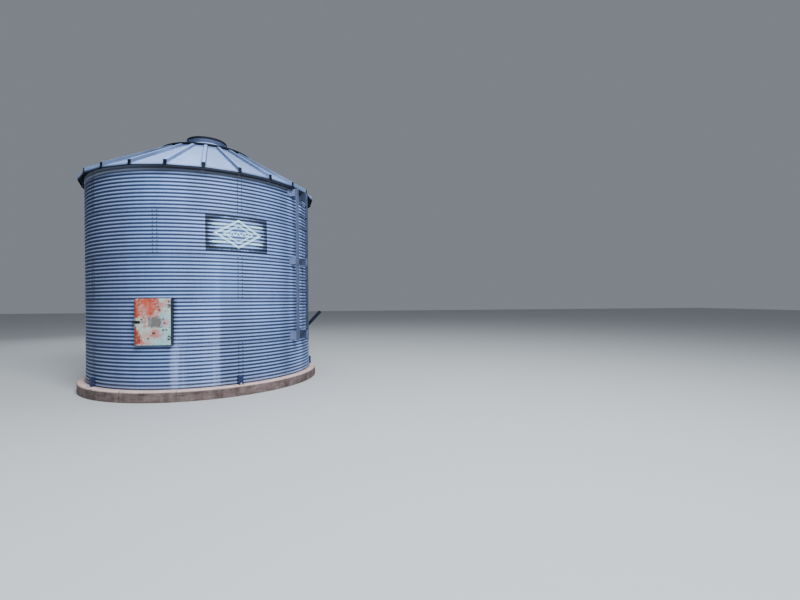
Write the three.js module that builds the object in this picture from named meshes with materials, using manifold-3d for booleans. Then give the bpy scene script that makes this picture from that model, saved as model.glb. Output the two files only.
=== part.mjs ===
// Corrugated steel grain bin, 15 ft across and five rings high, on a round concrete slab.
// Millimetres, +Z up. The origin is the middle of the slab's underside and the hatch faces -Y.
// A bearing is in degrees round the bin: 0 at the hatch, growing to the left of someone who faces it.
import * as THREE from "three";
import { mergeVertices } from "three/addons/utils/BufferGeometryUtils.js";
import Module from "manifold-3d";

const wasm = await Module();
wasm.setup();

const seat = 0.3; // gap between two pieces that rest on each other
const steel = 3; // sheet and strap thickness of the roof and the fittings

// Slab
const slabRadius = 2440;
const slabHeight = 200;
const slabEdgeWear = 28;

// Wall
const wallRadius = 2286; // middle of the corrugation
const corrugationDepth = 14;
const ringHeight = 812.8; // twelve corrugations of 2 2/3 in
const ringCount = 5;
const sheetsPerRing = 5;
const facetsPerSheet = 8;
const topBand = 13; // plain edge above the last corrugation
const wallOuter = wallRadius + corrugationDepth / 2;
const wallInner = wallRadius - corrugationDepth / 2;
const sheetDegrees = 360 / sheetsPerRing;
const wallTop = slabHeight + ringCount * ringHeight + topBand;

// Roof
const panelCount = 24;
const panelDegrees = 360 / panelCount;
const panelsPerQuarter = panelCount / 4;
const firstRib = -36; // bearing of the rib in line with the front right wall seam
const eaveRadius = 2390;
const panelInnerRadius = 905;
const ribSlope = Math.PI / 6;
const eaveLip = 48;
const ribWidth = 66;
const ribHeightAtEave = 58;
const ribHeightAtCap = 45;
const ribFoot = 3.5; // how far a rib's sides reach below the ridge
const quarterGap = 0.9; // between the last panel of a quarter and the next quarter's rib
const halfPanel = THREE.MathUtils.degToRad(panelDegrees / 2);
const eaveMiddle = eaveRadius * Math.cos(halfPanel); // distance of a panel's edge, halfway between ribs
const panelSlope = Math.atan(Math.tan(ribSlope) / Math.cos(halfPanel));
const eaveHeight = wallTop + seat - (eaveMiddle - wallOuter) * Math.tan(panelSlope);

// Cap, neck and lid
const roundSegments = 48;
const capRadius = 950;
const capSlope = 0.43; // rise for each unit inwards
const capSeat = 1.3; // keeps the faceted cone off the square corners of the ribs
const capRoll = 28; // height of the bead round the cap's rim
const capRollOut = 14;
const neckRadius = 330;
const neckBelowCap = 26;
const neckAboveCap = 101;
const lidRadius = 426;
const lidSlope = 0.068;
const lidSkirt = 49;

// Hatch
const hatchMiddle = slabHeight + 1.5 * ringHeight;
const sleeveHalfWidth = 315;
const sleeveHalfHeight = ringHeight / 2 - seat;
const sleeveWall = 5;
const sleeveBack = 2240;
const frameFront = 2325; // distance of the flange's face from the bin's axis
const flangeThickness = 4;
const flangeHalfWidth = 325;
const flangeHalfHeight = 424;
const hatchHalfWidth = 280;
const hatchHalfHeight = 371;
const doorFront = 2353;
const doorHalfWidth = 317;
const doorHalfHeight = 416;
const doorBack = frameFront + 0.5;

// Hatch hinges, at the right-hand edge
const hingeX = 329;
const hingeY = 2347;
const hingeBarrel = 9;
const hingeBore = 4.6;
const hingePin = 4;
const hingeOffset = 285; // of each hinge above or below the hatch's middle
const hingeHalfHeight = 42;
const doorKnuckleHalf = 14;
const knuckleGap = 1;

// Hasp and its staple, at the left-hand edge
const haspX = -205;
const haspY = 2359.5;
const haspBarrel = 5.5;
const haspBore = 3.1;
const haspPin = 2.5;
const haspEnd = -355;
const haspHalfHeight = 25;
const haspKnuckleHalf = 8;
const stapleX = -336;
const stapleThickness = 5;
const stapleHalfHeight = 12;
const stapleReach = 2385;
const slotHalfWidth = 7.5;
const slotHalfHeight = 17;

// Ladder
const ladderBearing = -72;
const ladderRadius = 2451; // middle of the rails
const railSpacing = 380; // between the webs
const railDepth = 60;
const railFlange = 20;
const railBottom = slabHeight + 710;
const railTop = slabHeight + 3960;
const rungPitch = ringHeight / 3;
const rungCount = 11;
const lowestRung = slabHeight + 970;
const rungDepth = 36;
const rungHeight = 22;
const bracketLevels = { low: [740, 930], mid: [2360, 2510], top: [3825, 3970] };
const bracketPlate = 5;
const bracketReach = 2470;

// Anchor clips
const clipWidth = 92;
const clipHeight = 172;
const clipDepth = 58;
const clipFoot = 100;
const clipThickness = 6;

// Side chute
const chuteBearing = -108;
const chuteTilt = THREE.MathUtils.degToRad(46.7);
const chuteRoot = slabHeight + 971; // where the trough's middle line meets the wall
const chuteLength = 455;
const chuteWidth = 150;
const chuteSide = 60;
const chutePlateHalfWidth = 95;
const chutePlateHalfHeight = 110;
const chutePlateThickness = 4;

// Lid hinge, at the back
const lidHingeY = 447;
const lidHingeDrop = 39; // below the top of the lid's skirt
const lidBarrel = 11;
const lidBore = 5.6;
const lidPin = 5;
const lidKnuckleHalf = 40;
const lidLugInner = 48;
const lidLugOuter = 58;

const galvanised = { color: 0x8d9aa8, roughness: 0.45, metalness: 0.75 };
const brightRoof = { color: 0xb9c2cb, roughness: 0.4, metalness: 0.7 };
const darkSteel = { color: 0x4a4d50, roughness: 0.6, metalness: 0.6 };
const concrete = { color: 0xa39a90, roughness: 0.95, metalness: 0 };
const peelingPaint = { color: 0xb9cac4, roughness: 0.7, metalness: 0.1 };

const bin = new THREE.Group();

// A closed geometry as a solid that can be joined and cut.
function solid(geometry) {
  const plain = geometry.clone();
  plain.deleteAttribute("normal");
  plain.deleteAttribute("uv");
  const merged = mergeVertices(plain, 1e-4);
  return new wasm.Manifold(
    new wasm.Mesh({
      numProp: 3,
      vertProperties: merged.attributes.position.array,
      triVerts: new Uint32Array(merged.index.array),
    }),
  );
}

// The solid's surface as a geometry again.
function surface(body) {
  const mesh = body.getMesh();
  const geometry = new THREE.BufferGeometry();
  geometry.setAttribute("position", new THREE.BufferAttribute(mesh.vertProperties, 3));
  geometry.setIndex(new THREE.BufferAttribute(mesh.triVerts, 1));
  geometry.computeVertexNormals();
  return geometry;
}

function join(bodies) {
  return bodies.reduce((whole, body) => whole.add(body));
}

// A box between two corners. The y values count outwards from the bin's axis, towards the hatch side.
function block([x0, out0, z0], [x1, out1, z1]) {
  const box = new THREE.BoxGeometry(Math.abs(x1 - x0), Math.abs(out1 - out0), Math.abs(z1 - z0));
  box.translate((x0 + x1) / 2, -(out0 + out1) / 2, (z0 + z1) / 2);
  return solid(box);
}

// A round bar along Z or X.
function bar(radius, from, to, x, y, segments = 24) {
  const rod = new THREE.CylinderGeometry(radius, radius, to - from, segments);
  rod.rotateX(Math.PI / 2);
  rod.translate(x, y, (from + to) / 2);
  return solid(rod);
}

function crossBar(radius, halfLength, y, z, segments = 24) {
  const rod = new THREE.CylinderGeometry(radius, radius, 2 * halfLength, segments);
  rod.rotateZ(Math.PI / 2);
  rod.translate(0, y, z);
  return solid(rod);
}

function outline(points) {
  return new THREE.Shape(points.map(([x, y]) => new THREE.Vector2(x, y)));
}

function extrude(shape, depth, curveSegments = 1) {
  return new THREE.ExtrudeGeometry(shape, { depth, bevelEnabled: false, curveSegments });
}

// A turned form from a closed profile of radius and height. Its first corner lies at the given bearing.
function turned(profile, segments, bearing) {
  const points = profile.map(([radius, height]) => new THREE.Vector2(radius, height));
  const form = new THREE.LatheGeometry(points, segments, THREE.MathUtils.degToRad(-bearing));
  form.rotateX(Math.PI / 2);
  return form;
}

function addPiece(name, geometry, look, bearing = 0) {
  const mesh = new THREE.Mesh(geometry, new THREE.MeshStandardMaterial(look));
  mesh.name = name;
  mesh.rotation.z = -THREE.MathUtils.degToRad(bearing);
  bin.add(mesh);
}

// Slab
function slab() {
  const profile = [
    [0, 0],
    [slabRadius, 0],
    [slabRadius, slabHeight - slabEdgeWear],
    [slabRadius - slabEdgeWear, slabHeight],
    [0, slabHeight],
  ];
  return turned(profile, 72, 0);
}

// One wall sheet, facing the hatch side, with the hair's breadth that it keeps from its neighbours.
function wallSheet(bottom, top) {
  const half = THREE.MathUtils.degToRad(sheetDegrees / 2) - seat / 2 / wallRadius;
  const front = -Math.PI / 2;
  const shape = new THREE.Shape();
  shape.absarc(0, 0, wallOuter, front - half, front + half, false);
  shape.absarc(0, 0, wallInner, front + half, front - half, true);
  shape.closePath();
  const sheet = extrude(shape, top - bottom - seat, facetsPerSheet / 2);
  sheet.translate(0, 0, bottom + (bottom > slabHeight ? seat / 2 : seat));
  return sheet;
}

// The space that the hatch's sleeve takes out of the wall.
function hatchCut() {
  const halfWidth = sleeveHalfWidth + seat;
  return block([-halfWidth, 2000, slabHeight], [halfWidth, 2500, wallTop]);
}

function addWall() {
  for (let ring = 0; ring < ringCount; ring += 1) {
    const bottom = slabHeight + ring * ringHeight;
    const top = ring === ringCount - 1 ? wallTop : bottom + ringHeight;
    const stagger = ring % 2 === 0 ? 0 : sheetDegrees / 2;
    for (let index = 0; index < sheetsPerRing; index += 1) {
      const bearing = stagger + index * sheetDegrees;
      const name = `wall_ring_${ring + 1}_sheet_${index + 1}`;
      const besideHatch = ring === 1 && (index === 0 || index === sheetsPerRing - 1);
      const sheet = wallSheet(bottom, top);
      addPiece(name, besideHatch ? cutForHatch(sheet, bearing) : sheet, galvanised, bearing);
    }
  }
}

// Cuts a sheet that will stand at the given bearing for the hatch at bearing 0.
function cutForHatch(sheet, bearing) {
  const turn = new THREE.Matrix4().makeRotationZ(THREE.MathUtils.degToRad(bearing));
  const cut = surface(hatchCut()).applyMatrix4(turn);
  return surface(solid(sheet).subtract(solid(cut)));
}

// One flat roof panel with its turned-down lip. Its sides stop inside the ribs' walls, or short of a rib
// of the next quarter.
function roofPanel(bearing, bordersNext) {
  const slopeLength = (eaveMiddle - panelInnerRadius * Math.cos(halfPanel)) / Math.cos(panelSlope);
  const eaveHalf = eaveRadius * Math.sin(halfPanel);
  const innerHalf = panelInnerRadius * Math.sin(halfPanel);
  const right = ribWidth / 2 - steel / 2;
  const left = bordersNext ? ribWidth / 2 + quarterGap : right;
  const sheet = extrude(
    outline([
      [left - eaveHalf, 0],
      [eaveHalf - right, 0],
      [innerHalf - right, slopeLength],
      [left - innerHalf, slopeLength],
    ]),
    steel,
  );
  sheet.rotateX(panelSlope);
  sheet.translate(0, -eaveMiddle, eaveHeight);
  const lip = block(
    [left - eaveHalf, eaveMiddle - steel / 2, eaveHeight - eaveLip],
    [eaveHalf - right, eaveMiddle + steel / 2, eaveHeight + 2],
  );
  return facing(solid(sheet).add(lip), bearing);
}

// One hollow rib, open below and at both ends, cut plumb at the eave and lower towards the cap.
function roofRib(bearing) {
  const length = (eaveRadius - panelInnerRadius) / Math.cos(ribSlope);
  const plumbTop = (ribHeightAtEave + ribFoot) * Math.tan(ribSlope);
  const taper = (ribHeightAtCap - ribHeightAtEave) / (length - plumbTop);
  const topAt = (s) => ribHeightAtEave + taper * (s - plumbTop);
  const overrun = 60;
  const outside = outline([
    [0, -ribFoot],
    [length, -ribFoot],
    [length, ribHeightAtCap],
    [plumbTop, ribHeightAtEave],
  ]);
  const inside = outline([
    [-overrun, -overrun],
    [length + overrun, -overrun],
    [length + overrun, topAt(length + overrun) - steel],
    [-overrun, topAt(-overrun) - steel],
  ]);
  const up = new THREE.Vector3(0, Math.cos(ribSlope), Math.sin(ribSlope));
  const away = new THREE.Vector3(0, -Math.sin(ribSlope), Math.cos(ribSlope));
  const across = new THREE.Vector3(1, 0, 0);
  const place = new THREE.Matrix4().makeBasis(up, away, across).setPosition(0, -eaveRadius, eaveHeight);
  const body = (shape, width) => {
    const form = extrude(shape, width);
    form.translate(0, 0, -width / 2);
    return solid(form.applyMatrix4(place));
  };
  return facing(body(outside, ribWidth).subtract(body(inside, ribWidth - 2 * steel)), bearing);
}

// Turns a body from the hatch side to a bearing.
function facing(body, bearing) {
  return solid(surface(body).rotateZ(-THREE.MathUtils.degToRad(bearing)));
}

function addRoof() {
  for (let quarter = 0; quarter < 4; quarter += 1) {
    const bodies = [];
    for (let index = 0; index < panelsPerQuarter; index += 1) {
      const rib = firstRib + (quarter * panelsPerQuarter + index) * panelDegrees;
      bodies.push(roofRib(rib));
      bodies.push(roofPanel(rib + panelDegrees / 2, index === panelsPerQuarter - 1));
    }
    addPiece(`roof_quarter_${quarter + 1}`, surface(join(bodies)), brightRoof);
  }
}

// Height of the cap's underside at a radius: it rests on the ribs' inner ends.
const ribRise = (eaveRadius - panelInnerRadius) * Math.tan(ribSlope);
const ribEndRadius = panelInnerRadius + ribHeightAtCap * Math.sin(ribSlope);
const ribEndHeight = eaveHeight + ribRise + ribHeightAtCap * Math.cos(ribSlope);
function capUnder(radius) {
  return ribEndHeight + capSeat + (ribEndRadius - radius) * capSlope;
}

const neckBottom = capUnder(neckRadius) - neckBelowCap;
const neckTop = capUnder(neckRadius) + neckAboveCap;
const lidUnder = (radius) => neckTop + seat + (neckRadius - radius) * lidSlope;
const lidRim = lidRadius - steel;
const lidSkirtBottom = lidUnder(lidRim) - lidSkirt;
const lidHingeZ = lidUnder(lidRim) - lidHingeDrop;

function roofCap() {
  const hole = neckRadius + seat;
  const rim = capUnder(capRadius);
  const rollInner = capRadius - capRollOut;
  const cone = turned(
    [
      [capRadius, rim],
      [capRadius + 10, rim + 3],
      [capRadius + capRollOut, rim + capRoll / 2],
      [capRadius + 10, rim + capRoll - 3],
      [capRadius, rim + capRoll],
      [rollInner, capUnder(rollInner) + steel],
      [hole, capUnder(hole) + steel],
      [hole, capUnder(hole)],
      [capRadius, capUnder(capRadius)],
    ],
    roundSegments,
    firstRib,
  );
  const lugBottom = capUnder(lidHingeY) - 4;
  const lug = (side) =>
    block(
      [side * lidLugInner, -(lidHingeY - 12), lugBottom],
      [side * lidLugOuter, -(lidHingeY + 12), lidHingeZ + lidBarrel],
    );
  const pin = crossBar(lidPin, lidLugOuter, lidHingeY, lidHingeZ);
  return surface(join([solid(cone), lug(-1), lug(1), pin]));
}

function neck() {
  return turned(
    [
      [neckRadius, neckBottom],
      [neckRadius, neckTop],
      [neckRadius - steel, neckTop],
      [neckRadius - steel, neckBottom],
      [neckRadius, neckBottom],
    ],
    roundSegments,
    firstRib,
  );
}

function lid() {
  const cover = turned(
    [
      [0, lidUnder(0)],
      [lidRim, lidUnder(lidRim)],
      [lidRim, lidSkirtBottom],
      [lidRadius, lidSkirtBottom],
      [lidRadius, lidUnder(lidRadius) + steel],
      [0, lidUnder(0) + steel],
    ],
    roundSegments,
    firstRib,
  );
  const strap = block(
    [-lidKnuckleHalf, -(lidRim - 6), lidHingeZ - 4],
    [lidKnuckleHalf, -lidHingeY, lidHingeZ + 4],
  );
  const barrel = crossBar(lidBarrel, lidKnuckleHalf, lidHingeY, lidHingeZ);
  const bore = crossBar(lidBore, lidKnuckleHalf + 5, lidHingeY, lidHingeZ);
  return surface(join([solid(cover), strap, barrel]).subtract(bore));
}

// Hatch frame: a sleeve through the wall, a flange in front, the fixed halves of the hinges and the staple.
function frameRing(halfWidth, halfHeight, out0, out1) {
  return block([-halfWidth, out0, hatchMiddle - halfHeight], [halfWidth, out1, hatchMiddle + halfHeight]);
}

function fixedHinge(middle) {
  const low = middle - hingeHalfHeight;
  const high = middle + hingeHalfHeight;
  const knuckle = (from, to) => {
    const lug = block([hingeX - 6, hingeY, from], [hingeX + 4, frameFront - flangeThickness, to]);
    return bar(hingeBarrel, from, to, hingeX, -hingeY).add(lug);
  };
  return join([
    block([hatchHalfWidth + 15, frameFront - flangeThickness, low], [hingeX + 4, frameFront, high]),
    knuckle(low, middle - doorKnuckleHalf - knuckleGap),
    knuckle(middle + doorKnuckleHalf + knuckleGap, high),
    bar(hingePin, low, high, hingeX, -hingeY),
  ]);
}

function hatchFrame() {
  const flangeBack = frameFront - flangeThickness;
  const sleeve = frameRing(sleeveHalfWidth, sleeveHalfHeight, sleeveBack, frameFront);
  const hollow = frameRing(sleeveHalfWidth - sleeveWall, sleeveHalfHeight - sleeveWall, 2200, flangeBack);
  const flange = frameRing(flangeHalfWidth, flangeHalfHeight, flangeBack, frameFront);
  const opening = frameRing(hatchHalfWidth, hatchHalfHeight, 2200, 2400);
  const blade = block(
    [stapleX - stapleThickness / 2, flangeBack, hatchMiddle - stapleHalfHeight],
    [stapleX + stapleThickness / 2, stapleReach, hatchMiddle + stapleHalfHeight],
  );
  const bladeFoot = block(
    [stapleX - stapleThickness / 2, flangeBack, hatchMiddle - slotHalfHeight],
    [-hatchHalfWidth - 15, frameFront, hatchMiddle + slotHalfHeight],
  );
  return surface(
    join([
      sleeve.subtract(hollow),
      flange,
      fixedHinge(hatchMiddle - hingeOffset),
      fixedHinge(hatchMiddle + hingeOffset),
      blade,
      bladeFoot,
    ]).subtract(opening),
  );
}

// Hatch door: a shallow pan with its hinge leaves and the fixed leaf of the hasp.
function doorHinge(middle) {
  const leaf = block([262, doorFront, middle - 32], [314, doorFront + steel, middle + 32]);
  const neckPiece = block(
    [300, doorFront, middle - doorKnuckleHalf],
    [hingeX, doorFront + steel, middle + doorKnuckleHalf],
  );
  const span = [middle - doorKnuckleHalf, middle + doorKnuckleHalf];
  return join([leaf, neckPiece, bar(hingeBarrel, ...span, hingeX, -hingeY)]);
}

function hatchDoor() {
  const outside = frameRing(doorHalfWidth, doorHalfHeight, doorBack, doorFront);
  const inside = frameRing(doorHalfWidth - steel, doorHalfHeight - steel, doorBack - 10, doorFront - steel);
  const hinges = [-hingeOffset, hingeOffset].map((offset) => doorHinge(hatchMiddle + offset));
  const bores = [-hingeOffset, hingeOffset].map((offset) => {
    const middle = hatchMiddle + offset;
    return bar(hingeBore, middle - hingeHalfHeight, middle + hingeHalfHeight, hingeX, -hingeY);
  });
  const low = hatchMiddle - haspHalfHeight;
  const high = hatchMiddle + haspHalfHeight;
  const innerEnd = haspKnuckleHalf + knuckleGap;
  const haspLeaf = block([haspX + 10, doorFront, low], [haspX + 40, doorFront + steel, high]);
  const haspKnuckle = (from, to) => {
    const root = block([haspX, doorFront, from], [haspX + 12, doorFront + steel, to]);
    return bar(haspBarrel, from, to, haspX, -haspY).add(root);
  };
  const haspKnuckles = [
    haspKnuckle(low, hatchMiddle - innerEnd),
    haspKnuckle(hatchMiddle + innerEnd, high),
    bar(haspPin, low, high, haspX, -haspY),
  ];
  return surface(join([outside.subtract(inside), ...hinges, haspLeaf]).subtract(join(bores)).add(join(haspKnuckles)));
}

function hatchHasp() {
  const back = haspY - steel / 2;
  const front = haspY + steel / 2;
  const plate = block([haspEnd, back, hatchMiddle - haspHalfHeight], [haspX - 12, front, hatchMiddle + haspHalfHeight]);
  const tongue = block([haspX - 14, back, hatchMiddle - haspKnuckleHalf], [haspX, front, hatchMiddle + haspKnuckleHalf]);
  const barrel = bar(haspBarrel, hatchMiddle - haspKnuckleHalf, hatchMiddle + haspKnuckleHalf, haspX, -haspY);
  const bore = bar(haspBore, hatchMiddle - 20, hatchMiddle + 20, haspX, -haspY);
  const slot = block(
    [stapleX - slotHalfWidth, back - 5, hatchMiddle - slotHalfHeight],
    [stapleX + slotHalfWidth, front + 5, hatchMiddle + slotHalfHeight],
  );
  return surface(join([plate, tongue, barrel]).subtract(slot).subtract(bore));
}

// Ladder: two channel rails that face outwards, and rungs of inverted channel between their webs.
function rail(side) {
  const web = railSpacing / 2;
  const tip = web + railFlange;
  const near = ladderRadius - railDepth / 2;
  const far = ladderRadius + railDepth / 2;
  const channel = outline([
    [web, -far],
    [tip, -far],
    [tip, -far + steel],
    [web + steel, -far + steel],
    [web + steel, -near - steel],
    [tip, -near - steel],
    [tip, -near],
    [web, -near],
  ]);
  const form = extrude(channel, railTop - railBottom);
  form.translate(0, 0, railBottom);
  if (side < 0) {
    form.rotateZ(Math.PI);
    form.translate(0, -2 * ladderRadius, 0);
  }
  return solid(form);
}

function rung(height) {
  const half = railSpacing / 2 + steel / 2;
  const out = rungDepth / 2;
  const tread = block([-half, ladderRadius - out, height], [half, ladderRadius + out, height + rungHeight]);
  const hollow = block(
    [-half - 5, ladderRadius - out + steel, height - 5],
    [half + 5, ladderRadius + out - steel, height + rungHeight - steel],
  );
  return tread.subtract(hollow);
}

function ladder() {
  const bodies = [rail(-1), rail(1)];
  for (let index = 0; index < rungCount; index += 1) {
    bodies.push(rung(lowestRung + index * rungPitch));
  }
  return surface(join(bodies));
}

// A strap bent to a U: its web lies on the wall and its arms reach the insides of the rails.
function ladderBracket([low, high]) {
  const armOutside = railSpacing / 2 - seat;
  const wallFace = wallOuter + seat;
  const outside = block([-armOutside, wallFace, slabHeight + low], [armOutside, bracketReach, slabHeight + high]);
  const inside = block(
    [bracketPlate - armOutside, wallFace + bracketPlate, slabHeight + low - 10],
    [armOutside - bracketPlate, bracketReach + 10, slabHeight + high + 10],
  );
  return surface(outside.subtract(inside));
}

// Anchor clip: a channel whose legs stand against the wall, on a foot plate.
function anchorClip() {
  const wallFace = wallOuter + seat;
  const bottom = slabHeight + seat;
  const top = bottom + clipHeight;
  const half = clipWidth / 2;
  const inner = half - clipThickness;
  const channel = block([-half, wallFace, bottom], [half, wallFace + clipDepth, top]);
  const hollow = block([-inner, wallFace - 10, bottom], [inner, wallFace + clipDepth - clipThickness, top + 10]);
  const foot = block([-half, wallFace, bottom], [half, wallFace + clipFoot, bottom + clipThickness]);
  return surface(channel.subtract(hollow).add(foot));
}

// Side chute: an open trough that slopes up and out from a plate on the wall.
function sideChute() {
  const wallFace = wallOuter + seat;
  const plate = block(
    [-chutePlateHalfWidth, wallFace, chuteRoot - chutePlateHalfHeight],
    [chutePlateHalfWidth, wallFace + chutePlateThickness, chuteRoot + chutePlateHalfHeight],
  );
  const half = chuteWidth / 2;
  const trough = outline([
    [-half, -chuteSide / 2],
    [half, -chuteSide / 2],
    [half, chuteSide / 2],
    [half - steel, chuteSide / 2],
    [half - steel, steel - chuteSide / 2],
    [steel - half, steel - chuteSide / 2],
    [steel - half, chuteSide / 2],
    [-half, chuteSide / 2],
  ]);
  const overrun = 60;
  const form = extrude(trough, chuteLength + overrun);
  form.translate(0, 0, -overrun);
  form.rotateX(Math.PI / 2 - chuteTilt);
  form.translate(0, -wallFace, chuteRoot);
  const behind = block([-200, 2000, chuteRoot - 200], [200, wallFace, chuteRoot + 200]);
  return surface(solid(form).add(plate).subtract(behind));
}

addPiece("slab", slab(), concrete);
addWall();
addRoof();
addPiece("roof_cap", roofCap(), brightRoof);
addPiece("fill_neck", neck(), galvanised);
addPiece("fill_lid", lid(), galvanised);
addPiece("hatch_frame", hatchFrame(), galvanised);
addPiece("hatch_door", hatchDoor(), peelingPaint);
addPiece("hatch_hasp", hatchHasp(), darkSteel);
addPiece("ladder", ladder(), galvanised, ladderBearing);
for (const [level, span] of Object.entries(bracketLevels)) {
  addPiece(`ladder_bracket_${level}`, ladderBracket(span), galvanised, ladderBearing);
}
for (let index = 0; index < sheetsPerRing; index += 1) {
  addPiece(`anchor_clip_${index + 1}`, anchorClip(), galvanised, (index + 0.5) * sheetDegrees);
}
addPiece("side_chute", sideChute(), galvanised, chuteBearing);

export default bin;
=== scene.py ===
import math
import random
from functools import reduce

import bmesh
import bpy
import numpy as np
from mathutils import Matrix, Vector, noise


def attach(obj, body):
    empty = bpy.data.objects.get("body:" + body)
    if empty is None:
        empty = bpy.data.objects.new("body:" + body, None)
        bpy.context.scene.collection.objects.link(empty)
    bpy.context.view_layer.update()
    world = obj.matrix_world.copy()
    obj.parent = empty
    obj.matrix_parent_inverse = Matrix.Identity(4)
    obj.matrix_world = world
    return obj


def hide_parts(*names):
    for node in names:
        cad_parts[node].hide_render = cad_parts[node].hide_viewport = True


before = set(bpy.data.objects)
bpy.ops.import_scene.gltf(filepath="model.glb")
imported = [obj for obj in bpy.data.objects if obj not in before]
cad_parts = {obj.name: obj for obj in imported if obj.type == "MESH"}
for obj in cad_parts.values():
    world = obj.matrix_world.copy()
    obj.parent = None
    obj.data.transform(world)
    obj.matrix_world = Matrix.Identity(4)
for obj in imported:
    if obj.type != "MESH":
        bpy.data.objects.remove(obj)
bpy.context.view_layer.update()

# Corrugated steel grain bin. Metres, +Z up, origin under the middle of the slab, hatch towards -Y.
# A bearing is in degrees round the bin, 0 at the hatch and growing to the left of someone facing it.


# Places

upward = np.array([0, 0, 1])


def polar(radius, bearing, height):
    turn = np.radians(bearing)
    radius, turn, height = np.broadcast_arrays(radius, turn, height)
    return np.stack([-radius * np.sin(turn), -radius * np.cos(turn), height], axis=-1)


def compass(bearing):
    # outwards, and to the right of someone facing the bin
    turn = math.radians(bearing)
    return np.array([-math.sin(turn), -math.cos(turn), 0]), np.array([math.cos(turn), -math.sin(turn), 0])


def standing(bearing):
    # turns something built facing the hatch side to a bearing
    return Matrix.Rotation(math.radians(-bearing), 4, "Z")


def facing(radius, bearing, height):
    # on an upright wall, local z outwards and local y up
    out, side = compass(bearing)
    place = Matrix((side, upward, out)).transposed().to_4x4()
    place.translation = polar(radius, bearing, height)
    return place


def sloping(radius, bearing, height, slope, across=0.0):
    # on a cone, local z square to it
    out, side = compass(bearing)
    normal = out * math.sin(slope) + upward * math.cos(slope)
    place = Matrix((np.cross(normal, side), side, normal)).transposed().to_4x4()
    place.translation = out * radius + side * across + upward * height
    return place


def fixing(bearing, x, depth, height, side=0):
    # on a fitting that faces a bearing, local z outwards, or along the wall to the side given
    turn = Matrix.Rotation(math.radians(90 * (side or 1)), 4, "Y" if side else "X")
    return standing(bearing) @ Matrix.Translation((x, -depth, height)) @ turn


# Shapes

def rings(rows, columns):
    # point numbers of closed rings, each with its first point again at the end
    numbers = np.arange(rows * columns).reshape(rows, columns)
    return np.append(numbers, numbers[:, :1], axis=1)


def strips(low, high):
    # four-sided faces between matching rows of point numbers
    return [*np.stack([low[:, :-1], low[:, 1:], high[:, 1:], high[:, :-1]], axis=-1).reshape(-1, 4)]


def addObject(name, data):
    added = bpy.data.objects.new(name, data)
    bpy.context.scene.collection.objects.link(added)
    return added


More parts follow.
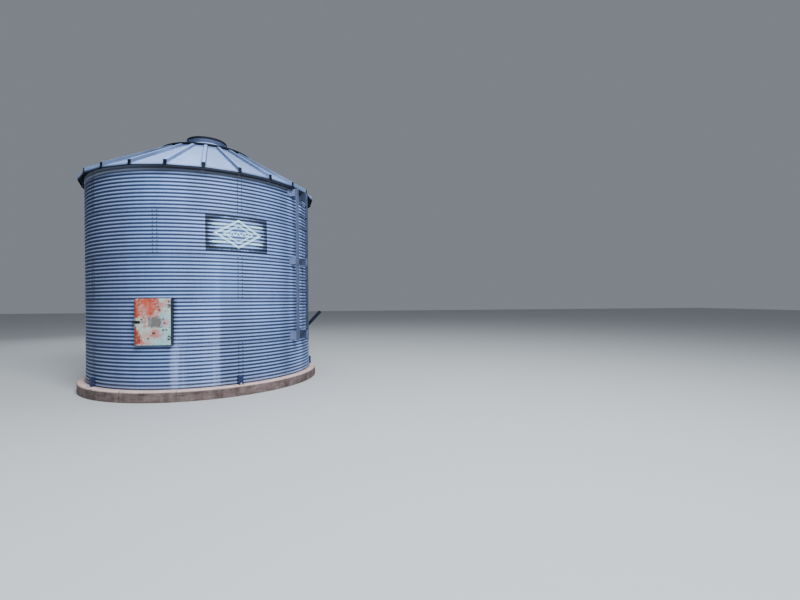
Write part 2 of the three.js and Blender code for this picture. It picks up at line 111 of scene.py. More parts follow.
class Shape:
    # collects points and faces of one piece; a point's tone makes its finish lighter or darker

    def __init__(self):
        self.points = []
        self.faces = []
        self.tones = []

    def add(self, points, faces, place=None, tone=0.0):
        start = len(self.points)
        if place is not None:
            points = [place @ Vector(point) for point in points]
        self.points.extend(tuple(point) for point in points)
        self.faces.extend([start + int(corner) for corner in face] for face in faces)
        self.tones.extend(np.broadcast_to(tone, len(points)).tolist())

    def other(self, shape, place, tone=0.0):
        self.add(shape.points, shape.faces, place, tone)

    def sheet(self, outer, inner, tone, backTone):
        # two matching grids of points become one closed sheet
        rows, columns = outer.shape[:2]
        front, back = np.arange(2 * rows * columns).reshape(2, rows, columns)
        faces = strips(front[:-1], front[1:]) + strips(back[1:], back[:-1])
        faces += strips(front[:, :1].T, back[:, :1].T) + strips(back[:, -1:].T, front[:, -1:].T)
        for edge, way in ((0, 1), (-1, -1)):
            across = np.stack([front[edge], back[edge]], axis=1)[::way]
            faces += strips(across[:-1], across[1:])
        tones = [np.broadcast_to(skin, (rows, columns)).ravel() for skin in (tone, backTone)]
        points = np.concatenate([outer.reshape(-1, 3), inner.reshape(-1, 3)])
        self.add(points, faces, tone=np.concatenate(tones))

    def lathe(self, profile, columns, shake=None, toned=(0, 0), tone=0.0):
        # a turned form: the profile runs from axis to axis or closes on itself, and part of it may be toned
        onAxis = profile[0][0] == 0
        ring = profile[1:-1] if onAxis else profile
        bearings = np.arange(columns) * 360 / columns
        grid = np.array([polar(radius, bearings, height) for radius, height in ring])
        if shake:
            grid = shake(grid, ring)
        points = [*grid.reshape(-1, 3)]
        loops = rings(len(ring), columns)
        if onAxis:
            faces = strips(loops[:-1], loops[1:])
            for level, loop in ((profile[0][1], loops[0, ::-1]), (profile[-1][1], loops[-1])):
                faces += [(len(points), *pair) for pair in zip(loop, loop[1:])]
                points.append((0, 0, level))
        else:
            faces = strips(loops, np.roll(loops, -1, axis=0))
        tones = np.zeros(len(points))
        tones[toned[0] * columns:toned[1] * columns] = tone
        self.add(points, faces, tone=tones)

    def block(self, low, high, place=None, tone=0.0, edge=0.001):
        # a box with chamfered edges: three points at each corner, one for each side that meets there
        low, high = np.minimum(low, high), np.maximum(low, high)
        edge = min(edge, 0.45 * float(min(high - low)))
        points = []
        for corner in np.ndindex(2, 2, 2):
            base = np.where(corner, high, low)
            inward = np.where(corner, -edge, edge)
            points += [base + inward * (np.arange(3) != flat) for flat in range(3)]
        faces = [[3 * corner + flat for flat in range(3)] for corner in range(8)]
        steps = (12, 6, 3) # from a corner's points to those of the next one along x, y and z
        for flat in range(3):
            first, second = [axis for axis in range(3) if axis != flat]
            square = (0, steps[first], steps[first] + steps[second], steps[second])
            faces += [[side + corner + flat for corner in square] for side in (0, steps[flat])]
            for near in square:
                far = near + steps[flat]
                faces.append([near + first, far + first, far + second, near + second])
        self.add(points, faces, place, tone)

    def rod(self, radius, start, end, sides=16, edge=0.0008, place=None, tone=0.0):
        # a round bar with chamfered ends
        start, end = Vector(start), Vector(end)
        along = (end - start).normalized()
        across = along.orthogonal().normalized()
        up = along.cross(across)
        edge = min(edge, radius * 0.4)
        stations = [(start, radius - edge), (start + along * edge, radius)]
        stations += [(end - along * edge, radius), (end, radius - edge)]
        turns = [2 * math.pi * (side + 0.5) / sides for side in range(sides)]
        points = [centre + (across * math.cos(turn) + up * math.sin(turn)) * size
                  for centre, size in stations for turn in turns]
        loops = rings(4, sides)
        faces = strips(loops[:-1], loops[1:]) + [loops[0, -2::-1], loops[3, :-1]]
        self.add(points, faces, place, tone)

    def build(self, name, material, body="bin", replaces=(), slot=None, sharp=32):
        mesh = bpy.data.meshes.new(name)
        mesh.from_pydata(self.points, [], self.faces)
        mesh.attributes.new("tone", "FLOAT", "POINT").data.foreach_set("value", self.tones)
        work = bmesh.new()
        work.from_mesh(mesh)
        bmesh.ops.recalc_face_normals(work, faces=work.faces)
        work.to_mesh(mesh)
        work.free()
        mesh.materials.append(material)
        mesh.shade_smooth()
        mesh.set_sharp_from_angle(angle=math.radians(sharp))
        piece = addObject(name, mesh)
        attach(piece, body)
        if replaces:
            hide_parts(*replaces)


def boltHead(radius=0.0075, height=0.0055, washer=0.0105):
    # washer and hexagon head, standing on z = 0
    head = Shape()
    head.rod(washer, (0, 0, -0.001), (0, 0, 0.0018), sides=14, edge=0.0005)
    head.rod(radius, (0, 0, 0.0015), (0, 0, 0.0015 + height), sides=6, edge=0.0012)
    return head


# Material tools

def operator(operation, swapped=False):
    # a method that adds one Math node; swapped puts the other value first
    def method(wire, other=None):
        return wire.paint.reckon(operation, *((other, wire) if swapped else (wire, other)))
    return method


class Wire:
    # a node's output that can be reckoned with

    __add__, __radd__ = operator("ADD"), operator("ADD", True)
    __sub__, __rsub__ = operator("SUBTRACT"), operator("SUBTRACT", True)
    __mul__, __rmul__ = operator("MULTIPLY"), operator("MULTIPLY", True)
    __truediv__, __rtruediv__ = operator("DIVIDE"), operator("DIVIDE", True)
    __pow__, __rpow__ = operator("POWER"), operator("POWER", True)
    size, root = operator("ABSOLUTE"), operator("SQRT")
    most, least = operator("MAXIMUM"), operator("MINIMUM")

    def __init__(self, paint, socket):
        self.paint = paint
        self.socket = socket

    def __neg__(self):
        return self * -1.0

    def between(self, low, high):
        # 0 below low, 1 above high, smooth between; low may be the larger
        inputs = {"Value": self, "From Min": low, "From Max": high}
        return self.paint.node("ShaderNodeMapRange", {"interpolation_type": "SMOOTHSTEP"}, inputs)

    def within(self, middle, half, soft):
        # 1 within half of the middle, fading out over a soft edge
        return (self - middle).size().between(half + soft, half - soft)


class Paint:
    # builds one material, colour layer by colour layer

    def __init__(self, name):
        self.material = bpy.data.materials.new(name)
        self.material.use_nodes = True
        self.tree = self.material.node_tree
        self.tree.nodes.clear()
        self.where = self.node("ShaderNodeTexCoord", output=3)
        self.x, self.y, self.z = self.parts(self.where)

    def node(self, kind, settings=None, inputs=None, output=0):
        made = self.tree.nodes.new(kind)
        for key, value in (settings or {}).items():
            setattr(made, key, value)
        for key, value in (inputs or {}).items():
            socket = made.inputs[key]
            if isinstance(value, Wire):
                self.tree.links.new(value.socket, socket)
            elif value is not None:
                socket.default_value = (*value, 1) if socket.type == "RGBA" else value
        return Wire(self, made.outputs[output])

    def reckon(self, operation, first, second=None):
        return self.node("ShaderNodeMath", {"operation": operation}, {0: first, 1: second})

    def mix(self, amount, first, second):
        return self.node("ShaderNodeMix", {"data_type": "RGBA"}, {0: amount, 6: first, 7: second}, 2)

    def times(self, colour, amount):
        return self.node("ShaderNodeVectorMath", {"operation": "SCALE"}, {0: colour, "Scale": amount})

    def layer(self, amount, colour):
        # another colour over part of what is there
        self.colour = self.mix(amount, self.colour, colour)

    def shade(self, amount):
        # what is there, lighter or darker
        self.colour = self.times(self.colour, amount)

    def parts(self, vector):
        split = self.node("ShaderNodeSeparateXYZ", None, {0: vector})
        return [Wire(self, socket) for socket in split.socket.node.outputs]

    def facet(self):
        # the three parts of the way that the surface faces
        return self.parts(self.node("ShaderNodeTexCoord", output=1))

    def turn(self):
        return self.reckon("ARCTAN2", -self.x, -self.y)

    def bearing(self):
        return self.turn() * (180 / math.pi)

    def radius(self):
        return (self.x * self.x + self.y * self.y).root()

    def tone(self):
        return self.node("ShaderNodeAttribute", {"attribute_name": "tone"}, output=2)

    def cloud(self, scale, detail=3.0, rough=0.55, where=None):
        inputs = {"Vector": where or self.where, "Scale": scale, "Detail": detail, "Roughness": rough}
        return self.node("ShaderNodeTexNoise", None, inputs)

    def stretched(self, x, y, z, detail=4, rough=0.6):
        where = self.node("ShaderNodeCombineXYZ", None, {0: x, 1: y, 2: z})
        return self.cloud(1.0, detail, rough, where)

    def streaks(self, across, along, detail=4, rough=0.6):
        # noise drawn out up and down the bin
        return self.stretched(self.x * across, self.y * across, self.z * along, detail, rough)

    def cells(self, scale, output=0):
        return self.node("ShaderNodeTexVoronoi", None, {"Vector": self.where, "Scale": scale}, output)

    def spangled(self, colour, strength=0.16):
        # zinc crystals: small cells, each a little lighter or darker
        crystal = self.parts(self.cells(85.0, 1))[0]
        patch = self.cloud(2.3, 4)
        amount = 1 - strength / 2 + crystal * strength * 0.55 + (patch - 0.5) * strength * 1.6
        return self.times(colour, amount)

    def bump(self, height, strength, distance):
        inputs = {"Height": height, "Strength": strength, "Distance": distance}
        return self.node("ShaderNodeBump", None, inputs)

    def finish(self, roughness, metallic, normal=None, gloss=0.5):
        inputs = {"Base Color": self.colour, "Roughness": roughness, "Metallic": metallic, "Normal": normal,
                  "Specular IOR Level": gloss}
        shader = self.node("ShaderNodeBsdfPrincipled", None, inputs)
        end = self.tree.nodes.new("ShaderNodeOutputMaterial")
        self.tree.links.new(shader.socket, end.inputs[0])
        return self.material


# Slab

slab = {
    "radius": 2.44, "height": 0.2, "columns": 400, "round": 0.028, "chip": 0.016, "sway": 0.006,
    "crackDepth": 0.006, "chipReach": 0.06,
    # shares of the height and radii where the mesh has rings, then bearing and width of each crack
    "levels": (0.15, 0.3, 0.45, 0.6, 0.72, 0.8),
    "topRings": (2.395, 2.375, 2.35, 2.325, 2.30, 2.27, 2.2, 1.9, 1.2, 0),
    "cracks": ((14.0, 0.3), (-10.0, 0.14), (62.0, 0.16), (-58.0, 0.16), (131.0, 0.2), (-142.0, 0.16)),
    "sideDark": (0.074, 0.043, 0.039), "sidePale": (0.235, 0.17, 0.16), "topDark": (0.60, 0.40, 0.36),
    "topPale": (0.84, 0.62, 0.57), "mud": (0.10, 0.075, 0.055), "footShadow": (0.14, 0.125, 0.12),
    "crack": (0.05, 0.04, 0.035),
}


def concreteFinish():
    paint = Paint("slabConcreteFinish")
    bearing = paint.bearing()
    top = paint.z.between(0.165, 0.196)
    patch = paint.cloud(2.6, 5, 0.65)
    runs = paint.streaks(9, 1.4, 5, 0.65)
    grain = paint.streaks(4, 42)
    fine = paint.cloud(60.0, 5, 0.7)
    blotch = paint.cloud(4.5, 5, 0.7)
    mottle = (runs * 0.25 + blotch * 0.6 + grain * 0.3).between(0.42, 0.76)
    side = paint.mix(mottle, slab["sideDark"], slab["sidePale"])
    upper = paint.mix(patch.between(0.3, 0.75), slab["topDark"], slab["topPale"])
    paint.colour = paint.mix(top, side, upper)
    paint.layer(paint.z.between(0.05, 0.0) * (runs * 0.9 + 0.2) * 0.7, slab["mud"])
    # painted shadow on the top along the wall's foot
    paint.layer(paint.radius().between(2.335, 2.30) * top * 0.6, slab["footShadow"])
    pit = paint.cells(70.0).between(0.22, 0.08) * fine.between(0.45, 0.6)
    paint.shade(0.88 + fine * 0.26 - pit * 0.35)
    crack = reduce(Wire.most, [(bearing - middle + (runs - 0.5) * 0.8).size().between(wide, wide * 0.3)
                               for middle, wide in slab["cracks"]])
    paint.layer(crack * 0.75, slab["crack"])
    height = fine * 0.6 + patch * 0.4 - pit * 0.6 - crack
    return paint.finish(0.92, 0.0, paint.bump(height, 0.6, 0.003))


def worn(grid, ring):
    # the slab's edge chipped, swaying a little and notched at its cracks
    radius, height = slab["radius"], slab["height"]
    for row, (size, level) in enumerate(ring):
        if size <= 2.3 or level <= 0.001:
            continue
        edge = max(0.0, 1 - math.hypot(radius - size, height - level) / slab["chipReach"])
        for column, (x, y, z) in enumerate(grid[row]):
            bearing = math.degrees(math.atan2(-x, -y))
            rough = noise.fractal(Vector((x * 5, y * 5, z * 5)), 0.9, 2.0, 4)
            chips = max(0.0, noise.noise(Vector((x * 11, y * 11, z * 9))) - 0.12) * edge
            inward = slab["sway"] * (0.5 + 0.5 * max(-1, min(1, rough))) + slab["chip"] * 2.2 * chips
            for middle, wide in slab["cracks"]:
                inward += slab["crackDepth"] * math.exp(-((bearing - middle) / 0.5) ** 2)
            grid[row, column, :2] *= 1 - (inward if level < height - 0.001 else inward * 0.3) / size
            if level > 0.12:
                grid[row, column, 2] -= (0.25 * inward + slab["chip"] * chips) * min(1.0, edge + 0.25)
    return grid


def makeSlab():
    radius, height, bend = slab["radius"], slab["height"], slab["round"]
    profile = [(0, 0), (1.2, 0), (radius - 0.004, 0.0), (radius, 0.006)]
    profile += [(radius, height * share) for share in slab["levels"]]
    profile += [(radius - bend * (1 - math.cos(turn)), height - bend * (1 - math.sin(turn)))
                for turn in np.radians((5, 25, 45, 65, 85))]
    profile += [(size, height) for size in slab["topRings"]]
    shape = Shape()
    shape.lathe(profile, slab["columns"], shake=worn)
    shape.build("slabConcrete", concrete, replaces=["slab"], slot="slab_concrete", sharp=50)


# Wall

wall = {
    "radius": 2.286, "foot": 0.2, "ring": 0.8128, "waves": 12, "waveDepth": 0.0062, "stepsPerWave": 8,
    "stepDegrees": 2.0, "sheet": 0.0014, "topBand": 0.0128, "sideLap": 2.2, "ringLap": 0.028,
    "hatchEdge": 7.96, "bolts": 50,
    "boltsAside": (0.5, -1.44), # degrees from a seam to its two rows of bolts
    # height and degrees over which a lap rises, its depth over the hatch, degrees from the hatch's middle to
    # where full laps and bolts begin, and how far a sheet's tone varies
    "lapRise": 0.012, "lapDegrees": 1.2, "lapBehindHatch": 0.0006, "overHatch": 8.6, "boltsClear": 10.5,
    "toneRange": 0.045,
}
steel = {
    # crest colours stand for a painted highlight, groove colours for painted shade with grime; the left ones
    # are for the side turned from the light
    "crest": (0.350, 0.520, 1.0), "groove": (0.029, 0.039, 0.078), "crestLeft": (0.35, 0.465, 0.80),
    "grooveLeft": (0.029, 0.045, 0.102), "wash": (0.46, 0.56, 0.90), "film": (0.25, 0.50, 0.95),
    "dust": (0.20, 0.19, 0.20), "underEaveLight": (0.40, 0.44, 0.58), "rust": (0.16, 0.07, 0.04), "metallic": 0.22,
    "roughness": 0.6, "bright": 0.57,
    # heights between which the wall's top is painted an even, lighter tone, the painted shade under the eave
    # and the eave's shade begin, and splashes end
    "underEaveFrom": (4.10, 4.16), "shadeFrom": (3.98, 4.13), "eaveShade": (4.16, 4.198), "splashTo": (0.40, 0.2),
    "frame": ((0.006, 0.322), (1.4132, 0.433)), # middle and half size of the hatch's frame, across and up
    # middle bearing, half width, soft edge, top and strength of each run
    "runs": (
        (-17.0, 9.6, 1.6, 1.25, 0.13), (-7.9, 0.8, 1.9, 0.9, 0.44), (-11.9, 0.5, 1.2, 1.3, 0.16),
        (-24.0, 2.6, 1.6, 1.3, 0.17), (-25.9, 0.9, 1.3, 1.3, 0.14), (-10.6, 1.5, 2.0, 1.2, 0.12)),
    # middle bearing and height, half width and half height, strength of each area of painted shade
    "paintedShades": (
        (-29.0, 3.78, 13.0, 0.33, 0.26), (-52.0, 3.78, 9.0, 0.33, 0.15), (-19.0, 2.35, 4.0, 0.45, 0.15),
        (-48.0, 0.75, 20.0, 0.5, 0.15), (-66.0, 2.2, 5.0, 2.3, 0.2)),
}
sign = {
    "bearing": -35.98, "halfWidth": 0.5835, "middle": 3.0525, "halfHeight": 0.3375, "radius": 2.29,
    "black": (0.0008, 0.002, 0.006), "mint": (0.60, 0.92, 0.95), "film": (0.38, 0.58, 0.92),
}


def wallFinish():
    paint = Paint("wallSteelFinish")
    x, y, z, bearing = paint.x, paint.y, paint.z, paint.bearing()
    pitch = wall["ring"] / wall["waves"]
    # the waves: a painted highlight on the upper slope of each crest and painted shade with grime in the
    # grooves, the bright band narrower low down and on the shaded left side
    wave = paint.reckon("COSINE", ((z - wall["foot"]) / pitch - steel["bright"]) * (2 * math.pi))
    shadedSide = bearing.between(-6.0, 55.0) * bearing.between(175.0, 100.0)
    crest = (wave * 0.5 + 0.5) ** (1.6 + z.between(2.0, 0.3) * 0.45 + shadedSide * 1.0)
    streak = paint.streaks(9, 0.55, 5)
    fine = paint.streaks(40, 2.5)
    # left of the hatch the grooves are painted a lighter blue and the crests darker: painted light and
    # painted shade
    grooveLeft = bearing.between(-16.0, 4.0) * bearing.between(38.0, 30.0)
    groove = paint.mix(grooveLeft, steel["groove"], steel["grooveLeft"])
    ridge = paint.mix(bearing.between(2.0, 20.0), steel["crest"], steel["crestLeft"])
    paint.colour = paint.spangled(paint.mix(crest, groove, ridge))
    paint.shade(0.86 + streak * 0.28 + paint.tone())

    # painted shade on the left side, lifted by painted light at its far edge and behind the ladder; a darker
    # band right of the wash, lower down; painted shadow behind the hatch's frame and beside the door
    sideLightAndShade = shadedSide * 0.22 - bearing.between(40.0, 62.0) * bearing.between(110.0, 80.0) * 0.45
    sideLightAndShade = sideLightAndShade - (bearing - ladder["bearing"]).size().between(9.0, 5.0) * 0.3
    band = bearing.between(-26.4, -28.5) * bearing.between(-47.0, -34.0) * z.between(3.6, 1.6) * 0.26
    front = (-y).between(1.9, 2.1)
    (frameX, frameHalf), (frameZ, frameRise) = steel["frame"]
    frameShadow = x.within(frameX, frameHalf, 0.0025) * z.within(frameZ, frameRise, 0.004) * front
    doorShadow = x.between(0.41, 0.33) * x.between(0.0, 0.3) * z.within(frameZ, 0.42, 0.02) * front
    doorShadowAmount = 0.35 + z.between(1.4, 1.7) * 0.25
    paint.shade((1 - sideLightAndShade) * (1 - band) * (1 - frameShadow * 0.92) * (1 - doorShadow * doorShadowAmount))
    # areas of painted shade
    for middle, height, halfWide, halfHigh, amount in steel["paintedShades"]:
        across = (bearing - middle).size().between(halfWide + 5, halfWide - 2)
        paint.shade(1 - across * (z - height).size().between(halfHigh + 0.3, halfHigh - 0.1) * amount)

    wash = washMask(paint, bearing, fine, crest)

    # at the top the waves' painted highlights and shade give way to an even, lighter tone, as painted light
    # under the eave; then painted shade of the eave, more towards the right, and the eave's shade
    paint.layer(z.between(*steel["underEaveFrom"]) * 0.7, steel["underEaveLight"])
    paint.shade(1 - z.between(*steel["shadeFrom"]) * bearing.between(14.0, -6.0) * 0.5)
    paint.shade(1 - z.between(*steel["eaveShade"]) * 0.4)

    # dark lines under the laps of the rings, dust and splashes above the slab, a few rust spots
    joint = paint.reckon("PINGPONG", z - wall["foot"], wall["ring"] / 2)
    line = joint.between(0.034, 0.026) * joint.between(0.012, 0.02)
    paint.layer(line * fine.between(0.3, 0.55) * 0.45, steel["groove"])
    splash = z.between(*steel["splashTo"]) * fine.between(0.35, 0.7)
    paint.layer(splash * 0.55, steel["dust"])
    spot = paint.cells(16.0).between(0.09, 0.03)
    paint.layer(spot * paint.cloud(1.7, 2).between(0.6, 0.68) * 0.6, steel["rust"])

    painted = addSign(paint, bearing, streak, fine, crest)
    roughness = steel["roughness"] + (streak - 0.5) * 0.2 + wash * 0.25 + painted * 0.15
    metallic = steel["metallic"] * (1 - painted.most(splash * 0.5).most(wash * 0.6))
    return paint.finish(roughness, metallic, paint.bump(fine, 0.25, 0.0006), 0.3)


def washMask(paint, bearing, fine, crest):
    # pale mineral wash that ran down beside the hatch, with a thin film above it
    z = paint.z
    runs = paint.streaks(15, 0.7, 6, 0.7)
    film = z.between(1.45, 1.95) * z.between(3.1, 1.9)
    film = film * bearing.between(-39.5, -33.0) * bearing.between(-15.0, -26.0)
    paint.layer(film * (runs * 0.6 + 0.1) * 0.2, steel["film"])
    bands = []
    for middle, half, soft, top, amount in steel["runs"]:
        band = (bearing - middle + (fine - 0.5) * 3).size().between(half + soft, half)
        bands.append(band * z.between(top + 0.45, top - 0.25) * amount)
    wash = reduce(Wire.__add__, bands)
    wash = (wash * (runs * 2.6 + fine * 0.8 - 0.8)).between(0.02, 0.85) * (0.3 + crest * 0.5)
    paint.layer(wash, steel["wash"])
    return wash


def addSign(paint, bearing, streak, fine, crest):
    # a black field worn off its middle and the crests, with plain pale shapes
    halfWidth, halfHeight = sign["halfWidth"], sign["halfHeight"]
    across = (bearing - sign["bearing"]) * (math.pi / 180 * sign["radius"])
    up = paint.z - sign["middle"]
    edge = (fine - 0.5) * 0.03
    field = (across.size() + edge).between(halfWidth + 0.006, halfWidth - 0.006)
    field = field * (up.size() + edge * 0.5).between(halfHeight + 0.005, halfHeight - 0.005)
    middle = ((across / halfWidth) ** 4.0 + (up / halfHeight) ** 4.0) ** 0.25
    bared = middle + (streak - 0.5) * 0.26 - crest * 0.26 + (fine - 0.5) * 0.16
    blackLeft = field * bared.between(0.61, 0.71) * (1 - crest * 0.2)
    paint.layer(blackLeft, sign["black"])
    paint.layer(field * middle.between(1.0, 0.6) * fine.between(0.2, 0.6) * 0.13, sign["film"])
    lozenge = across.size() * 0.62 + up.size()
    outer = (lozenge - 0.255).size().between(0.024, 0.017)
    inner = (lozenge - 0.165).size().between(0.017, 0.011)
    zigzag = (up - paint.reckon("PINGPONG", across + 0.6, 0.055) * 1.3 + 0.036).size().between(0.021, 0.013)
    zigzag = zigzag * lozenge.between(0.145, 0.14)
    bar = (up.size() - 0.165).size().between(0.020, 0.013)
    bar = bar * across.size().between(0.22, 0.24) * across.size().between(0.48, 0.46)
    mark = outer.most(inner).most(zigzag).most(bar)
    mintLeft = mark * (fine * 0.9 + streak * 0.7 + crest * 0.25 - 0.1).between(0.40, 0.66)
    paint.layer(mintLeft * 0.82, sign["mint"])
    return blackLeft.most(mintLeft)


def waveRadius(above):
    above = np.minimum(above, 5 * wall["ring"])
    return wall["radius"] - wall["waveDepth"] * np.cos(2 * np.pi * above / (wall["ring"] / wall["waves"]))


def makeWall():
    random.seed(7)
    half, lapped, rise = wall["sheet"] / 2, 1.25 * wall["sheet"], wall["lapRise"]
    for ring in range(5):
        low = ring * wall["ring"]
        rises = np.linspace(0, wall["ring"], wall["waves"] * wall["stepsPerWave"] + 1)
        if ring == 4:
            rises = np.append(rises, wall["ring"] + wall["topBand"])
        for index in range(5):
            middle = index * 72 + 36 * (ring % 2)
            middle = middle - 360 if middle > 180 else middle
            right, left = middle - 36 - wall["sideLap"], middle + 36
            hatchRight = ring == 1 and middle == 36 # the sheet whose right edge is cut short at the hatch
            if hatchRight:
                right = wall["hatchEdge"]
            if ring == 1 and middle == -36:
                left = -wall["hatchEdge"]
            bearings = np.linspace(left, right, round((left - right) / wall["stepDegrees"]) + 1)
            above = np.repeat(low + rises[:, None], len(bearings), 1)
            if ring:
                overHatch = (ring == 2) & (np.abs(bearings) < wall["overHatch"])
                lapDepth = np.where(overHatch, wall["lapBehindHatch"], wall["ringLap"])
                above = np.concatenate([[low - lapDepth * share for share in (1.0, 0.66, 0.33)], above])
            radius = waveRadius(above)
            if not hatchRight: # its right edge lies over the next sheet
                radius = radius + np.clip(middle - 36 + wall["lapDegrees"] - bearings, 0, 1) * lapped
            if ring: # its foot lies over the ring below
                radius = radius + np.clip((low + rise - above) / rise, 0, 1) * lapped
            skins = [polar(radius + grow, bearings[None, :], above + wall["foot"]) for grow in (half, -half)]
            tone = random.uniform(-wall["toneRange"], wall["toneRange"])
            sheet = Shape()
            sheet.sheet(*skins, tone, tone)
            replaced = f"wall_ring_{ring + 1}_sheet_{index + 1}"
            name = f"wallRing{ring + 1}Sheet{index + 1}"
            sheet.build(name, wallSteel, replaces=[replaced], slot="wall_steel", sharp=60)


def makeWallBolts():
    head = boltHead()
    pitch = wall["ring"] / wall["waves"]
    crest = wall["radius"] + wall["waveDepth"] + wall["sheet"] * 1.6
    groove = wall["radius"] - wall["waveDepth"] + wall["sheet"] * 2.4
    for ring in range(5):
        bolts = Shape()
        foot = wall["foot"] + ring * wall["ring"]
        seams = [36 * (1 - ring % 2) + seam * 72 for seam in range(5)]
        for bearing in seams:
            if ring == 1 and bearing == 0: # the hatch is here
                continue
            for wave in range(wall["waves"]):
                for aside in wall["boltsAside"]:
                    bolts.other(head, facing(crest, bearing + aside, foot + (wave + 0.5) * pitch))
        for step in range(wall["bolts"] if ring else 0):
            bearing = wall["boltsAside"][1] - step * 360 / wall["bolts"]
            fromHatch = abs((bearing + 180) % 360 - 180)
            if ring > 2 or fromHatch >= wall["boltsClear"]: # none above and below the hatch
                bolts.other(head, facing(groove, bearing, foot))
        bolts.build(f"wallBoltsRing{ring + 1}", boltSteel, slot="rusty_steel")


# Roof

roof = {
    "firstRib": -36, "eaveRadius": 2.39, "eaveHeight": 4.23492, "innerRadius": 0.905,
    "slope": math.radians(30), "ribHalf": 0.033, "ribEave": 0.067, "ribInner": 0.0515, "sheet": 0.0015,
    "bend": 0.006, "flange": 0.016, "flangeLift": 0.0022, "ribEnd": 0.927, "stations": 14,
    "boltRadii": (2.31, 1.03, 6), "boltAcross": 0.0425, "panelGap": 0.018, "sag": 0.0035, "ripple": 0.003,
    # low and high corners, above the eave, of the dark plug of painted shade in a rib's open end and of the
    # one between the lips
    "shadePlugs": (
        ((-0.0302, -2.386, 0.004), (0.0302, -2.378, 0.064)),
        ((-0.026, -2.3985, -0.044), (0.026, -2.3928, 0.002))),
    # a plate under the cap between two ribs, in painted shade, with a band of painted shadow from the cap's
    # rim on it
    "plateHalf": 0.0865, "plateTop": 5.1262, "plateDepths": (0.931, 0.935), "shadowBandDepths": (0.9352, 0.944),
    # the turned-down lip: drop, step outwards, and the way that its thickness lies
    "lipRows": (
        (0.0012, 0.0010, 0.6, 0.8), (0.004, 0.0016, 1.0, 0.3), (0.021, 0.0016, 1.0, 0.0),
        (0.022, 0.0016, 1.0, 0.0), (0.045, 0.0016, 1.0, 0.0), (0.048, 0.0022, 1.0, -0.5)),
    "pale": (0.40, 0.54, 0.94), "weathered": (0.22, 0.29, 0.48), "rust": (0.16, 0.10, 0.07),
    "grime": (0.05, 0.065, 0.10),
}
# painted shade: in the ribs' hollow insides, under the panels, on the rib sides, on the plugs and band at the
# rib ends and lip slots, on the closure plates, the lip's lower edge and the fold
roofShade = {
    "hollow": -0.95, "underside": -0.95, "ribSide": -0.32, "ribEnd": -0.985, "closure": -0.3, "lip": -0.965,
    "fold": -0.32,
    # the painted shade of the facets turned from the light, and the bearing where the facets are painted
    # lightest
    "side": -0.42, "brightest": -8.0,
}


def roofFinish():
    paint = Paint("roofSteelFinish")
    radius, bearing, tall = paint.radius(), paint.turn(), paint.z * 1.1
    runs = paint.stretched(bearing * 14, radius * 1.1, tall, 5)
    patch = paint.cloud(1.6, 4)
    paint.colour = paint.spangled(roof["pale"], 0.14)
    paint.shade(0.86 + runs * 0.22 + (patch - 0.5) * 0.2)
    paint.layer(radius.between(2.2, 0.95) * (runs * 1.1 + 0.15) * 0.5, roof["weathered"])
    paint.layer(paint.cells(9.0).between(0.10, 0.04) * patch.between(0.5, 0.6) * 0.5, roof["rust"])
    # grime and painted shade along the ribs' feet and in the hollows
    fromRib = paint.reckon("PINGPONG", bearing * (180 / math.pi) + 36.0, 7.5)
    foot = (fromRib * (math.pi / 180) * radius - 0.034).size().between(0.014, 0.003)
    paint.layer(foot * 0.55 * runs.between(0.2, 0.6), roof["grime"])
    # the points' tones: painted shade on ribs, panels, plugs, closures, lip and fold, and on the facets
    # turned from the light
    paint.shade(1 + paint.tone())
    return paint.finish(0.6 + (runs - 0.5) * 0.3, 0.2, paint.bump(paint.cloud(90.0), 0.15, 0.0006), 0.15)


def roofHeight(radius):
    return roof["eaveHeight"] + (roof["eaveRadius"] - radius) * math.tan(roof["slope"])


def facetShade(bearing):
    # painted shade on the facets, none at the bearing painted brightest and growing to both sides
    away = ((bearing - roofShade["brightest"] + 180) % 360 - 180) / 24
    return roofShade["side"] * (1 - math.exp(-away * away))


def ribSection(height, grow):
    # across the rib: flange, fillet, side, rounded top and back, with the skin moved outwards by a thickness
    half, bend, foot = roof["ribHalf"] - 0.001, roof["bend"], roof["flangeLift"]
    line = [(-half - roof["flange"], foot), (-half - bend, foot)]
    line += [(-half - bend + bend * math.sin(turn), foot + bend - bend * math.cos(turn))
             for turn in (0.5, 1.0)]
    line += [(-half, foot + bend)]
    line += [(-half + bend * (1 - math.cos(turn)), height - bend + bend * math.sin(turn))
             for turn in (0, 0.5, 1.0, math.pi / 2)]
    line += [(-half * 0.4, height)]
    line += [(-x, y) for x, y in reversed(line)]
    points = np.array(line)
    along = np.gradient(points, axis=0)
    normal = np.stack([-along[:, 1], along[:, 0]], axis=1)
    normal /= np.linalg.norm(normal, axis=1, keepdims=True)
    return points + normal * grow


def addRib(piece, bearing):
    out, side = compass(bearing)
    across = ribSection(roof["ribEave"], 0)[:, 0]
    onSide = (across > roof["ribHalf"] - 0.005) & (across < roof["ribHalf"] + 0.004)
    skins = []
    for grow in (roof["sheet"] / 2, -roof["sheet"] / 2):
        rows = []
        for radius in np.linspace(roof["eaveRadius"], roof["ribEnd"], roof["stations"]):
            share = (roof["eaveRadius"] - radius) / (roof["eaveRadius"] - roof["innerRadius"])
            section = ribSection(roof["ribEave"] + (roof["ribInner"] - roof["ribEave"]) * share, grow)
            drop = np.maximum(0, np.abs(section[:, :1]) - 0.03) * 0.08
            rise = roofHeight(radius) + section[:, 1:] - drop
            rows.append(out * radius + section[:, :1] * side + upward * rise)
        skins.append(np.array(rows))
    # painted shade on the rib's sides and facet, and in its hollow
    piece.sheet(*skins, np.where(onSide, roofShade["ribSide"], 0.0) + facetShade(bearing), roofShade["hollow"])


